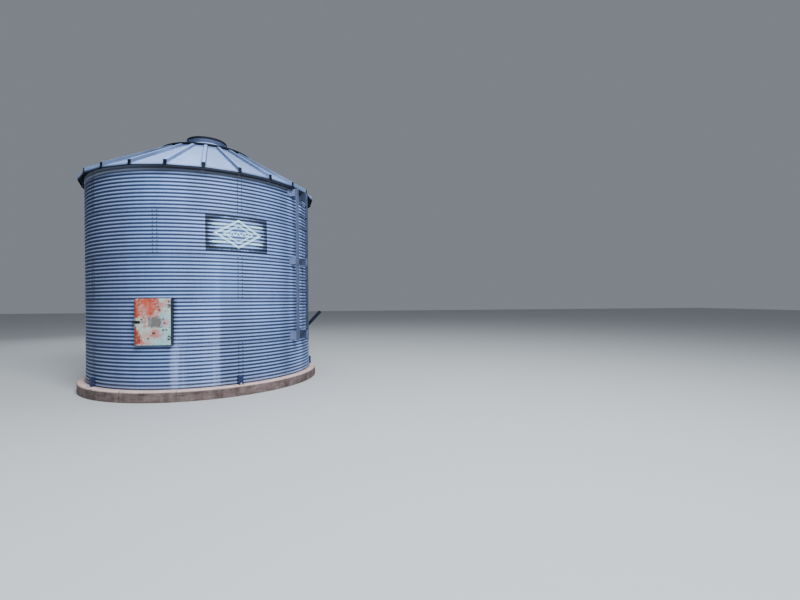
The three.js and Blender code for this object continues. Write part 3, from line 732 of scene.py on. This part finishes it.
def addPanel(piece, bearing):
    half, first, last = roof["sheet"] / 2, roof["innerRadius"], roof["eaveRadius"]
    shares = np.linspace(0, 1, 13)
    bow = np.sin(np.pi * shares)
    skins = [], []
    for radius in [*np.linspace(first, last - 0.014, 15), last]:
        start, end = polar(radius, bearing + 15, 0), polar(radius, bearing, 0)
        inset = roof["panelGap"] / np.linalg.norm(end - start)
        places = start + (end - start) * (inset + shares * (1 - 2 * inset))[:, None]
        sag = roof["sag"] * math.sin(math.pi * (radius - first) / (last - first))
        uneven = np.array([noise.noise(Vector((x * 2.2, y * 2.2, bearing))) for x, y, z in places])
        ripple = roof["ripple"] * uneven * min(1.0, (last - radius) / 0.2)
        places = places + upward * (roofHeight(radius) - bow * (sag + ripple))[:, None]
        for skin, grow in zip(skins, (half, -half)):
            skin.append(places + upward * grow)
    away = compass(bearing + 7.5)[0]
    for drop, step, skinX, skinZ in roof["lipRows"]:
        for skin, grow in zip(skins, (half, -half)):
            skin.append(places + away * (step + grow * skinX) + upward * (grow * skinZ - drop))
    outer, inner = np.array(skins)
    # painted shade on the facet, along the fold at the eave and underneath; the lip's lower edge painted dark
    # as the shadow beneath it
    tone = np.full((len(outer), 1), facetShade(bearing + 7.5))
    tone[-7:-3] += roofShade["fold"]
    tone[-3:] = roofShade["lip"]
    piece.sheet(outer, inner, tone, roofShade["underside"])


def addClosures(piece, bearing):
    # dark plugs of painted shade in the rib's open end and in the slot between the lips, and a plate under
    # the cap beside it, with painted shade and a band of painted shadow
    dark, eave = roofShade["ribEnd"], upward * roof["eaveHeight"]
    for corners in roof["shadePlugs"]:
        piece.block(*(corner + eave for corner in corners), standing(bearing), dark)
    half, high, turned = roof["plateHalf"], roof["plateTop"], standing(bearing + 7.5)
    (back, front), (shadowBack, shadowFront) = roof["plateDepths"], roof["shadowBandDepths"]
    tone = roofShade["closure"] + facetShade(bearing + 7.5)
    piece.block((-half, -front, roofHeight(front) + 0.002), (half, -back, high), turned, tone)
    piece.block((-half, -shadowFront, high - 0.026), (half, -shadowBack, high - 0.006), turned, dark)


def makeRoof():
    head = boltHead(0.006, 0.004, 0.009)
    for quarter in range(4):
        piece, bolts = Shape(), Shape()
        for index in range(6):
            bearing = roof["firstRib"] + (quarter * 6 + index) * 15
            addRib(piece, bearing)
            addPanel(piece, bearing)
            addClosures(piece, bearing)
            for radius in np.linspace(*roof["boltRadii"]):
                for across in (-roof["boltAcross"], roof["boltAcross"]):
                    height = roofHeight(radius) + roof["flangeLift"]
                    bolts.other(head, sloping(radius, bearing, height, roof["slope"], across))
        replaced = f"roof_quarter_{quarter + 1}"
        piece.build(f"roofPanels{quarter + 1}", roofSteel, replaces=[replaced], slot="roof_steel", sharp=40)
        bolts.build(f"roofBolts{quarter + 1}", boltSteel, slot="rusty_steel")


# Cap, neck and lid

cap = {
    "radius": 0.950, "rim": 5.12068, "slope": 0.43, "sheet": 0.003, "hole": 0.3303, "roll": 0.0137,
    "rollHalf": 0.0138, "drip": 5.1125, "columns": 144, "boltRadius": 0.915, "rimShade": -0.97,
    # near side, far side and half length of the lid's lugs and of their feet, radius and half length of a pin
    "lug": (0.048, 0.058, 0.012), "lugFoot": (0.048, 0.088, 0.03), "pin": (0.005, 0.062),
}
neck = {"radius": 0.330, "bottom": 5.3613, "top": 5.4883, "wall": 0.003}
lid = {
    "radius": 0.426, "skirt": 5.4333, "under": 5.4823, "slope": 0.068, "sheet": 0.0029, "hingeY": 0.447,
    "hingeZ": 5.44326, "barrel": (0.011, 0.04), "arm": (0.4255, 0.444, 0.004),
    # down the skirt: inset and height above its foot
    "bead": (
        (0.0008, 0.038), (0.0008, 0.030), (0.003, 0.026), (0.0008, 0.022), (0, 0.008), (0, 0.001), (0.001, 0),
        (0.0025, 0)),
}


def capUnder(radius):
    return cap["rim"] + (cap["radius"] - radius) * cap["slope"]


def makeCap():
    radius, hole, roll, rollHalf, drip = (cap[key] for key in ("radius", "hole", "roll", "rollHalf", "drip"))
    middle = capUnder(radius) + rollHalf + 0.0002
    holeTop = capUnder(hole) + cap["sheet"]
    profile = [(radius - 0.012, capUnder(radius - 0.012) - 0.0002)]
    profile += [(radius + 0.008, capUnder(radius) - 0.0003), (radius + 0.0095, drip), (radius + 0.0115, drip)]
    profile += [(radius + roll * math.cos(turn), middle + rollHalf * math.sin(turn))
                for turn in np.radians(range(-28, 91, 16))]
    profile += [(radius - 0.007, middle + 0.011), (radius - 0.013, middle + 0.003)]
    profile += [(size, capUnder(size) + cap["sheet"])
                for size in (radius - 0.02, *np.linspace(radius - 0.05, hole + 0.012, 9))]
    profile += [(hole + 0.003, holeTop + 0.004), (hole + 0.001, holeTop + 0.009), (hole, holeTop + 0.009)]
    profile += [(hole, capUnder(hole) + 0.001), (hole + 0.03, capUnder(hole + 0.03))]
    cover = Shape()
    # the rim and its roll are toned dark: painted shade along the cap's edge
    cover.lathe(profile, cap["columns"], toned=(0, 13), tone=cap["rimShade"])
    y, z, low = lid["hingeY"], lid["hingeZ"], capUnder(lid["hingeY"]) - 0.004
    for side in (-1, 1):
        near, far, half = cap["lug"]
        cover.block((side * near, y - half, low), (side * far, y + half, z + 0.011), edge=0.002)
        near, far, half = cap["lugFoot"]
        cover.block((side * near, y - half, low + 0.004), (side * far, y + half, low + 0.008))
    pinRadius, pinHalf = cap["pin"]
    cover.rod(pinRadius, (-pinHalf, y, z), (pinHalf, y, z))
    cover.build("roofCapCone", capSteel, replaces=["roof_cap"], slot="roof_steel", sharp=30)

    bolts, head = Shape(), boltHead(0.007, 0.005, 0.0105)
    radius = cap["boltRadius"]
    for index in range(24):
        bearing = roof["firstRib"] + index * 15
        bolts.other(head, sloping(radius, bearing, capUnder(radius) + cap["sheet"], math.atan(cap["slope"])))
    bolts.build("capBolts", boltSteel, slot="rusty_steel")


def makeNeck():
    radius, bottom, top, thick = (neck[key] for key in ("radius", "bottom", "top", "wall"))
    profile = [(radius, bottom), (radius, top - 0.012), (radius - 0.0008, top - 0.003)]
    profile += [(radius - 0.0015, top), (radius - thick, top), (radius - thick, bottom)]
    tube = Shape()
    tube.lathe(profile, 120)
    tube.build("fillNeckTube", neckSteel, replaces=["fill_neck"], slot="wall_steel", sharp=30)


def lidUnder(radius):
    return lid["under"] + (0.423 - radius) * lid["slope"]


def makeLid():
    radius, thick, skirt, y, z = (lid[key] for key in ("radius", "sheet", "skirt", "hingeY", "hingeZ"))
    edge = lidUnder(radius)
    profile = [(size, lidUnder(size) + thick) for size in (0, 0.05, 0.15, 0.25, 0.33, 0.38, 0.405)]
    profile += [(radius - 0.010, edge + thick + 0.0006), (radius - 0.004, edge + thick - 0.001)]
    profile += [(radius - 0.001, edge - 0.003)]
    profile += [(radius - inset, skirt + height) for inset, height in lid["bead"]]
    profile += [(radius - thick, skirt + 0.001)]
    profile += [(radius - thick - 0.001, edge - 0.006), (radius - 0.012, edge)]
    profile += [(size, lidUnder(size)) for size in (0.33, 0.15, 0)]
    cover = Shape()
    # the skirt is toned dark as painted shade, and the hinge arm and barrel get the same tone
    tone = cap["rimShade"]
    cover.lathe(profile, 120, toned=(7, 19), tone=tone)
    (barrel, half), (near, far, rise) = lid["barrel"], lid["arm"]
    cover.block((-half, near, z - rise), (half, far, z + rise), tone=tone)
    cover.rod(barrel, (-half, y, z), (half, y, z), sides=24, tone=tone)
    cover.build("fillLidCover", lidSteel, "lid", replaces=["fill_lid"], slot="roof_steel", sharp=30)


# Hatch

hatch = {
    "middle": 1.4192, "halfWidth": 0.317, "halfHeight": 0.416, "front": 2.353, "back": 2.3255,
    "corner": 0.024, "sheet": 0.0022, "bend": 0.007, "hingeX": 0.329, "hingeY": 2.347, "barrel": 0.009,
    "hinges": (-0.285, 0.285), "haspX": -0.205, "haspY": 2.3595, "leaf": 0.003, "frameDepth": 2.325,
    "barrelHalf": 0.014, "haspHalf": 0.025, "haspGap": 0.009, "haspLeaf": (0.010, 0.040),
    "haspBolts": (0.030, 0.015),
    # left, right and half height of a hinge's two parts
    "leaves": ((0.262, 0.314, 0.032), (0.300, 0.327, 0.0138)),
    "leafBolts": ((0.276, 0.022), (0.302, 0.024)), # across, and up and down from the hinge's middle
    "frameAcross": (-0.297, -0.15, 0.0, 0.15, 0.297), "frameUp": (-0.395, 0.395),
    "frameSides": (-0.2, 0.0, 0.2),
}
# pale paint over red primer, flaking to bare steel and rust; a patch has its place across and up from the
# door's middle and its half sizes
hatchLook = {
    "pale": (0.47, 0.54, 0.46), "mint": (0.33, 0.53, 0.53), "pink": (0.55, 0.29, 0.28),
    "rose": (0.53, 0.17, 0.16), "red": (0.45, 0.036, 0.013), "salmon": (0.49, 0.12, 0.075),
    "orange": (0.51, 0.07, 0.016), "bare": (0.18, 0.165, 0.17), "worn": (0.20, 0.135, 0.11),
    "rust": (0.028, 0.018, 0.016), "stain": (0.16, 0.07, 0.045), "inside": (0.20, 0.22, 0.25),
    "primerPatches": (
        (-0.10, 0.27, 0.25, 0.17), (0.03, 0.36, 0.10, 0.08), (-0.285, -0.27, 0.06, 0.16),
        (-0.285, 0.15, 0.05, 0.09)),
    "redPatches": (
        (-0.121, 0.361, 0.165, 0.075), (-0.278, 0.23, 0.055, 0.17), (-0.01, 0.235, 0.08, 0.115),
        (0.045, 0.365, 0.05, 0.045), (-0.285, -0.208, 0.042, 0.10), (-0.255, -0.31, 0.065, 0.085),
        (-0.063, 0.30, 0.10, 0.06), (-0.30, 0.38, 0.05, 0.05)),
    "rosePatches": (
        (-0.131, 0.022, 0.034, 0.062), (-0.131, -0.077, 0.042, 0.028), (0.033, -0.241, 0.09, 0.042),
        (0.054, -0.164, 0.058, 0.034), (-0.12, 0.25, 0.06, 0.04), (-0.19, -0.37, 0.07, 0.025)),
    "scuffPatches": (
        (-0.15, 0.29, 0.055, 0.028), (-0.14, 0.19, 0.035, 0.06), (0.05, 0.30, 0.035, 0.06),
        (-0.22, 0.27, 0.02, 0.08)),
    "pinkPatches": (
        (-0.126, 0.13, 0.09, 0.09), (-0.131, 0.274, 0.07, 0.06), (0.022, 0.104, 0.12, 0.045),
        (0.224, -0.011, 0.08, 0.075), (0.192, 0.301, 0.09, 0.045), (-0.105, -0.252, 0.075, 0.08),
        (-0.16, -0.365, 0.14, 0.045), (0.26, 0.37, 0.06, 0.04), (0.04, -0.2, 0.13, 0.10),
        (0.10, 0.2, 0.05, 0.10)),
    # the last number is a strength
    "barePatches": ((0.066, -0.003, 0.094, 0.094, 0.9), (-0.030, -0.012, 0.052, 0.084, 0.75)),
    "rustSpots": (
        (0.107, 0.271), (0.123, 0.213), (0.181, 0.049), (0.208, -0.022), (0.181, -0.142), (0.24, -0.142),
        (0.010, -0.195), (0.030, -0.2), (-0.078, -0.296), (-0.19, 0.044), (0.286, 0.365), (0.288, 0.285),
        (0.288, -0.252), (0.275, -0.308)),
    "smallSpots": (
        (0.255, -0.033), (0.181, -0.208), (0.038, -0.296), (0.096, -0.268), (0.298, -0.099), (0.123, -0.05),
        (0.15, 0.13), (-0.15, 0.08), (0.22, 0.19), (0.07, 0.14)),
}


def paintFinish():
    look = hatchLook
    paint = Paint("hatchPaintFinish")
    x, y, z = paint.x, paint.y, paint.z
    up = z - hatch["middle"]
    ragged = paint.cloud(13.0, 6, 0.72)
    speck = paint.cloud(46.0, 5, 0.75)
    mottle = paint.cloud(24.0, 3, 0.6)

    def away(middleX, middleZ, wide, high):
        return (((x - middleX) / wide) ** 2.0 + ((up - middleZ) / high) ** 2.0).root()

    def patches(name, soft):
        edges = [away(*spot) + (ragged - 0.5) * 2.3 + (speck - 0.5) * 0.9 for spot in look[name]]
        return reduce(Wire.least, edges).between(1.0 + soft * 0.2, 1.0 - soft * 0.2)

    tint = paint.cloud(5.0) + x * 0.5 - up * 0.25
    paint.colour = paint.mix(tint.between(0.42, 0.66), look["pale"], look["mint"])
    paint.layer(patches("pinkPatches", 2.4) * mottle.between(0.28, 0.5) * 0.9, look["pink"])
    paint.layer(patches("primerPatches", 2.0) * 0.8, look["salmon"])
    paint.layer(patches("rosePatches", 1.8) * mottle.between(0.30, 0.46) * 0.95, look["rose"])
    scratch = paint.stretched(x * 34, y, z * 26, 6, 0.75)
    redness = patches("redPatches", 1.3) * scratch.between(0.66, 0.52)
    redTone = paint.mix(ragged.between(0.38, 0.62), look["red"], look["orange"])
    redTone = paint.mix((speck * 0.5 + mottle * 0.5).between(0.48, 0.62), redTone, look["salmon"])
    paint.layer(redness * 0.93, paint.times(redTone, 1 - up.between(-0.05, -0.3) * 0.25))
    paint.layer(patches("scuffPatches", 2.0) * mottle.between(0.4, 0.56) * 0.75, look["pink"])

    squares = []
    for bareX, bareZ, wide, high, amount in look["barePatches"]:
        square = ((x - bareX).size() / wide).most((up - bareZ).size() / high)
        square = square + (ragged - 0.5) * 1.7 + (speck - 0.5) * 0.9
        squares.append(square.between(1.15, 0.8) * amount)
    bare = reduce(Wire.most, squares)
    paint.layer(bare, paint.mix(mottle.between(0.45, 0.6), look["bare"], look["worn"]))
    paint.layer(paint.cloud(95.0, 4, 0.7).between(0.56, 0.68) * 0.4, look["bare"])
    flakes = (ragged * 0.6 + speck * 0.5).between(0.66, 0.70)
    paint.layer(flakes * 0.55, look["bare"])
    fray = (speck - 0.5) * 3.4 + (mottle - 0.5) * 2.2
    sizes = {"rustSpots": 0.012, "smallSpots": 0.006}
    edges = [away(*spot, size, size) + fray for name, size in sizes.items() for spot in look[name]]
    nearest = reduce(Wire.least, edges)
    paint.layer(nearest.between(2.6, 1.2) * 0.45, look["stain"])
    rust = nearest.between(1.5, 0.75)
    paint.layer(rust * 0.9, look["rust"])

    # the back of the door was never painted over
    paint.layer(paint.facet()[1].between(0.2, 0.6) * 0.92, paint.spangled(look["inside"], 0.3))
    uneven = paint.streaks(22, 1.3) * 0.26 + speck * 1.5 + mottle * 0.6 - 0.2
    # painted shade along the door's hinge edge and its free edge
    hingeEdgeShade, freeEdgeShade = x.between(0.3135, 0.316), x.between(-0.262, -0.310)
    paint.shade(uneven * (1 - hingeEdgeShade * 0.93) * (1 - freeEdgeShade * 0.55) * (1 + paint.tone()))
    height = 0 - bare * 0.7 - flakes * 0.5 - redness * 0.35 + speck * 0.3
    rough = 0.62 + redness * 0.15 + rust * 0.2 - bare * 0.15
    return paint.finish(rough, bare * 0.4, paint.bump(height, 0.7, 0.0012), 0.25)


def roundedLoop(halfWidth, halfHeight, corner):
    # an upright rectangle with rounded corners, with points along its edges too
    arcs = []
    for number, (signX, signZ) in enumerate(((1, 1), (-1, 1), (-1, -1), (1, -1))):
        turns = np.radians(number * 90 + np.linspace(0, 90, 7))
        middle = (signX * (halfWidth - corner), signZ * (halfHeight - corner))
        arcs.append(middle + corner * np.stack([np.cos(turns), np.sin(turns)], axis=1))
    loop = []
    for number, arc in enumerate(arcs):
        edge = arcs[(number + 1) % 4][0] - arc[-1]
        steps = 14 if number % 2 else 10
        loop += [*arc, *(arc[-1] + edge * step / steps for step in range(1, steps))]
    return loop


def doorPan():
    # outside from the rim forwards and across, then inside back to the rim: inset from the edge, and depth
    thick, front, back, bend = (hatch[key] for key in ("sheet", "front", "back", "bend"))
    outside = [(0, back), (0, back + 0.006), (0, front - bend)]
    outside += [(bend * (1 - math.cos(turn)), front - bend + bend * math.sin(turn))
                for turn in (0.4, 0.8, 1.2, math.pi / 2)]
    outside += [(inset, front) for inset in (0.02, 0.04, 0.07, 0.11, 0.15, 0.2, 0.25, 0.29, 0.312)]
    inside = [(inset, front - thick) for inset in (0.312, 0.25, 0.15, 0.07, 0.02, 0.009)]
    inside += [(thick, front - bend), (thick, back)]
    points = []
    for inset, depth in outside + inside:
        corner = max(hatch["corner"] - inset, 0.0015)
        give = max(0.0, min(1.0, (inset - 0.015) / 0.06))
        for x, rise in roundedLoop(hatch["halfWidth"] - inset, hatch["halfHeight"] - inset, corner):
            z = hatch["middle"] + rise
            dent = noise.noise(Vector((x * 4.2, 3.1, z * 4.2))) * 0.0022
            dent += noise.noise(Vector((x * 11, 8.7, z * 11))) * 0.0007
            points.append((x, dent * give - depth, z))
    rows, turn = len(outside + inside), len(outside)
    loops = rings(rows, len(points) // rows)
    faces = strips(loops[:turn - 1], loops[1:turn]) + strips(loops[turn:-1], loops[turn + 1:])
    faces += strips(loops[-1:], loops[:1]) + [loops[turn - 1, :-1], loops[turn, -2::-1]]
    return points, faces


def makeDoor():
    middle, front, leaf, haspX, haspY = (hatch[key] for key in ("middle", "front", "leaf", "haspX", "haspY"))
    door = Shape()
    door.add(*doorPan())
    for height in (middle + offset for offset in hatch["hinges"]):
        for left, right, rise in hatch["leaves"]:
            door.block((left, -front, height - rise), (right, -front - leaf, height + rise))
        ends = height - hatch["barrelHalf"], height + hatch["barrelHalf"]
        barrel = [(hatch["hingeX"], -hatch["hingeY"], end) for end in ends]
        door.rod(hatch["barrel"], *barrel, sides=24, tone=-0.9)
    low, high, gap = middle - hatch["haspHalf"], middle + hatch["haspHalf"], hatch["haspGap"]
    left, right = (haspX + side for side in hatch["haspLeaf"])
    door.block((left, -front, low), (right, -front - leaf, high))
    for start, end in ((low, middle - gap), (middle + gap, high)):
        door.block((haspX, -front, start), (left + 0.002, -front - leaf, end))
        door.rod(0.0055, (haspX, -haspY, start), (haspX, -haspY, end))
    door.rod(0.0025, (haspX, -haspY, low), (haspX, -haspY, high), sides=12)
    door.build("hatchDoorPanel", hatchPaint, "hatch", replaces=["hatch_door"], slot="hatch_paint", sharp=30)

    spots = [(x, offset + side) for x, aside in hatch["leafBolts"]
             for offset in hatch["hinges"] for side in (-aside, aside)]
    across, aside = hatch["haspBolts"]
    spots += [(haspX + across, side) for side in (-aside, aside)]
    bolts, head = Shape(), boltHead(0.0065, 0.0045, 0.0105)
    for x, rise in spots:
        bolts.other(head, fixing(0, x, front + leaf, middle + rise))
    bolts.build("hatchDoorBolts", rustySteel, "hatch", slot="rusty_steel")


def makeFrameBolts():
    bolts, head = Shape(), boltHead(0.0065, 0.0045, 0.010)
    spots = [(x, rise) for x in hatch["frameAcross"] for rise in hatch["frameUp"]]
    spots += [(x, rise) for rise in hatch["frameSides"] for x in hatch["frameAcross"][::4]]
    for x, rise in spots:
        bolts.other(head, fixing(0, x, hatch["frameDepth"], hatch["middle"] + rise))
    bolts.build("hatchFrameBolts", boltSteel, slot="rusty_steel")


# Ladder, brackets, clips and chute: the solid pieces stay, with bolts added

ladder = {
    "bearing": -72, "radius": 2.451, "web": 0.190, "lowest": 1.170, "pitch": 0.8128 / 3, "rungs": 11,
    "strapDepth": 2.2983,
    # bottom, top and width of the brackets' feet
    "feet": ((0.94, 1.13, 0.06), (2.56, 2.71, 0.06), (4.025, 4.17, 0.11)),
    # overlap is how far inside the rail's web a foot begins; the bolts' places are measured from edges
    "footBack": 2.2932, "footFront": 2.3015, "footMiddle": 2.295, "overlap": 0.02, "rungBolt": 0.011,
    "strapBolt": 0.035, "footBolt": 0.03, "strapAcross": (-0.12, 0.12), "boltEdge": 0.012,
}
clips = {
    "first": 36, "depth": 2.3735, "top": 0.2063, "stud": (0.21, 0.236), "legDepth": 2.322, "legX": 0.046,
    "heights": (0.262, 0.326),
}
chute = {
    "bearing": -108, "plateDepth": 2.2973, "across": (-0.082, 0.082), "heights": (1.085, 1.171, 1.257),
    # colours of the faces in painted shade and of the upper faces in painted light
    "shadedFaces": (0.006, 0.008, 0.020), "upper": (0.055, 0.045, 0.095),
}


def plainFinish(name, base, metallic, roughness, streakUp=True, bearing=None, gloss=0.5, shadeFrom=0.0):
    # weathered zinc for fittings
    paint = Paint(name)
    streak = paint.streaks(12, 2 if streakUp else 12)
    paint.colour = paint.spangled(base, 0.2)
    paint.shade(0.85 + streak * 0.3)
    if bearing is not None:
        # painted shade between the rails and the wall, and on the rail that is farther from the hatch
        turn = math.radians(bearing)
        across = paint.x * math.cos(turn) - paint.y * math.sin(turn)
        outwards = paint.x * -math.sin(turn) - paint.y * math.cos(turn)
        paint.shade(1 - 0.6 * across.size().between(0.1885, 0.1865) * outwards.between(2.47, 2.42))
        paint.shade(1 - 0.5 * across.between(0.165, 0.175) * paint.z.between(shadeFrom - 0.1, shadeFrom + 0.1))
    grime = paint.cloud(6.0, 4, 0.7).between(0.56, 0.75)
    paint.layer(grime * 0.35, tuple(part * 0.4 for part in base))
    paint.shade(1 + paint.tone())
    rough = roughness + (streak - 0.5) * 0.2 + grime * 0.2
    return paint.finish(rough, metallic, paint.bump(paint.cloud(120.0), 0.2, 0.0005), gloss)


def chuteFinish():
    # pale upper faces and dark sides: painted light on top and painted shade on the sides
    paint = Paint("chuteSteelFinish")
    patch = paint.cloud(22.0, 4, 0.65)
    paint.colour = paint.mix(paint.facet()[2].between(0.1, 0.4), chute["shadedFaces"], chute["upper"])
    paint.shade(0.7 + patch * 0.6)
    return paint.finish(0.55 + patch * 0.2, 0.1, paint.bump(patch, 0.3, 0.0005), 0.2)


def rustyFinish():
    paint = Paint("rustySteelFinish")
    patch = paint.cloud(28.0, 5, 0.7)
    fine = paint.cloud(160.0, 4, 0.7)
    paint.colour = paint.mix(patch.between(0.42, 0.7), (0.012, 0.013, 0.017), (0.055, 0.03, 0.02))
    paint.shade(0.8 + fine * 0.4)
    return paint.finish(0.62 + patch * 0.25, 0.1, paint.bump(fine, 0.5, 0.0006), 0.2)


def boltFinish():
    paint = Paint("boltSteelFinish")
    patch = paint.cloud(9.0, 4, 0.7)
    paint.colour = paint.mix(patch.between(0.4, 0.66), (0.075, 0.095, 0.15), (0.10, 0.075, 0.07))
    return paint.finish(0.5 + patch * 0.2, 0.6)


def dressKept():
    # the solid pieces that stay get their finishes
    kept = {"hatch_frame": frameSteel, "hatch_hasp": rustySteel}
    kept.update({"ladder": ladderSteel, "side_chute": chuteSteel})
    kept.update({f"ladder_bracket_{level}": bracketSteel for level in ("low", "mid", "top")})
    kept.update({f"anchor_clip_{number}": clipSteel for number in range(1, 6)})
    for name, finish in kept.items():
        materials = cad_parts[name].data.materials
        materials.clear()
        materials.append(finish)


def makeLadderFixings():
    bearing, depth, web = ladder["bearing"], ladder["radius"], ladder["web"]
    bolts, feet, head = Shape(), Shape(), boltHead(0.0065, 0.005, 0.0095)

    def throughRails(height):
        for side in (-1, 1):
            bolts.other(head, fixing(bearing, side * (web + 0.003), depth, height, side))

    for rung in range(ladder["rungs"]):
        throughRails(ladder["lowest"] + rung * ladder["pitch"] + ladder["rungBolt"])
    for low, high, width in ladder["feet"]:
        half = (width + ladder["overlap"]) / 2
        offset = math.degrees(math.asin((web - ladder["overlap"] + half) / ladder["footMiddle"]))
        for side in (-1, 1):
            there = bearing - side * offset
            corners = (-half, -ladder["footFront"], low), (half, -ladder["footBack"], high)
            feet.block(*corners, standing(there), edge=0.0012)
            for height in (low + ladder["footBolt"], high - ladder["footBolt"]):
                place = fixing(there, side * (half - ladder["boltEdge"]), ladder["footFront"], height)
                bolts.other(head, place, tone=-0.9)
        for height in (low + ladder["strapBolt"], high - ladder["strapBolt"]):
            throughRails(height)
            for across in ladder["strapAcross"]:
                bolts.other(head, fixing(bearing, across, ladder["strapDepth"], height))
    feet.build("ladderBracketFeet", bracketSteel, slot="ladder_steel")
    bolts.build("ladderBolts", boltSteel, slot="rusty_steel")


def makeClipBolts():
    bolts, head, big = Shape(), boltHead(0.0065, 0.005, 0.0095), boltHead(0.013, 0.011, 0.019)
    for number in range(5):
        bearing = clips["first"] + 72 * number
        place = standing(bearing)
        bolts.other(big, place @ Matrix.Translation((0, -clips["depth"], clips["top"])))
        bolts.rod(0.007, *((0, -clips["depth"], end) for end in clips["stud"]), sides=12, place=place)
        for side in (-1, 1):
            for height in clips["heights"]:
                spot = fixing(bearing, side * clips["legX"], clips["legDepth"], height, side)
                bolts.other(head, spot, tone=-0.9)
    bolts.build("clipBolts", nutSteel, slot="rusty_steel")


def makeChuteBolts():
    bolts, head = Shape(), boltHead(0.0065, 0.005, 0.0095)
    for across in chute["across"]:
        for height in chute["heights"]:
            bolts.other(head, fixing(chute["bearing"], across, chute["plateDepth"], height))
    bolts.build("chuteBolts", boltSteel, slot="rusty_steel")


# Floor, light and camera

studio = {
    "floor": (0.55, 0.55, 0.54), "floorHalf": 60, "sky": (0.80, 0.88, 1.0), "skyStrength": 0.26,
    "light": (0.84, 0.92, 1.0),
    # place, the height that it aims at on the axis, size and power of each light
    "lights": {
        "keyLight": ((7.0, -11.0, 12.6), 2.2, 6.5, 4750),
        "topLight": ((2.0, 1.0, 14.0), 3.0, 8.0, 420),
        "backLight": ((-9.0, 11.0, 9.0), 2.2, 8.0, 400),
    },
    "camera": (4.060, -9.803, 1.7755), "lens": 18.463, "azimuth": 87.46, "roll": -0.0077,
}


def makeStage():
    half = studio["floorHalf"]
    mesh = bpy.data.meshes.new("studioFloor")
    corners = [(x * half, y * half, 0) for x, y in ((-1, -1), (1, -1), (1, 1), (-1, 1))]
    mesh.from_pydata(corners, [], [(0, 1, 2, 3)])
    paint = Paint("studioFloorFinish")
    paint.colour = studio["floor"]
    mesh.materials.append(paint.finish(0.9, 0.0))
    addObject("studioFloor", mesh)

    world = bpy.data.worlds.new("studioWorld")
    bpy.context.scene.world = world
    world.use_nodes = True
    background = world.node_tree.nodes["Background"]
    background.inputs[0].default_value = (*studio["sky"], 1)
    background.inputs[1].default_value = studio["skyStrength"]

    for name, (place, aim, size, power) in studio["lights"].items():
        data = bpy.data.lights.new(name, "AREA")
        data.shape = "SQUARE"
        data.size = size
        data.energy = power
        data.color = studio["light"]
        light = addObject(name, data)
        light.location = place
        light.rotation_euler = (Vector((0, 0, aim)) - Vector(place)).to_track_quat("-Z", "Y").to_euler()


def makeCamera():
    data = bpy.data.cameras.new("photoCamera")
    data.sensor_width = 36
    data.lens = studio["lens"]
    data.clip_end = 300
    camera = addObject("photoCamera", data)
    azimuth = math.radians(studio["azimuth"])
    view = Vector((math.cos(azimuth), math.sin(azimuth), 0))
    turn = view.to_track_quat("-Z", "Y").to_matrix().to_4x4() @ Matrix.Rotation(studio["roll"], 4, "Z")
    camera.matrix_world = Matrix.Translation(studio["camera"]) @ turn
    bpy.context.scene.camera = camera


concrete = concreteFinish()
wallSteel = wallFinish()
roofSteel = roofFinish()
capSteel = plainFinish("capSteelFinish", (0.33, 0.43, 0.68), 0.2, 0.6, streakUp=False, gloss=0.12)
lidSteel = plainFinish("lidSteelFinish", (0.40, 0.46, 0.62), 0.1, 0.65, streakUp=False, gloss=0.06)
# the neck is painted lighter than the lid, as painted light against the lid's shadow on it
neckSteel = plainFinish("neckSteelFinish", (0.53, 0.55, 0.64), 0.1, 0.6)
hatchPaint = paintFinish()
# the frame is painted near black as painted shade: it shows only in the shaded strip beside the door
frameSteel = plainFinish("hatchFrameFinish", (0.035, 0.042, 0.065), 0.3, 0.6)
ladderSteel = plainFinish("ladderSteelFinish", (0.135, 0.164, 0.262), 0.35, 0.5, bearing=ladder["bearing"])
bracketSteel = plainFinish("bracketSteelFinish", (0.19, 0.245, 0.40), 0.3, 0.5, bearing=ladder["bearing"],
                           shadeFrom=3.4)
# the clips are painted dark as painted shade: they stand in shade
clipSteel = plainFinish("clipSteelFinish", (0.017, 0.026, 0.090), 0.3, 0.5)
nutSteel = plainFinish("nutSteelFinish", (0.62, 0.68, 0.80), 0.2, 0.5)
chuteSteel = chuteFinish()
rustySteel = rustyFinish()
boltSteel = boltFinish()
print("materials made")
makeStage()
makeCamera()
print("stage and camera set")
makeSlab()
print("slab made")
makeWall()
makeWallBolts()
print("wall made")
makeRoof()
makeCap()
makeNeck()
makeLid()
print("roof made")
makeDoor()
makeFrameBolts()
dressKept()
makeLadderFixings()
makeClipBolts()
makeChuteBolts()
print("hatch, ladder and fittings made")
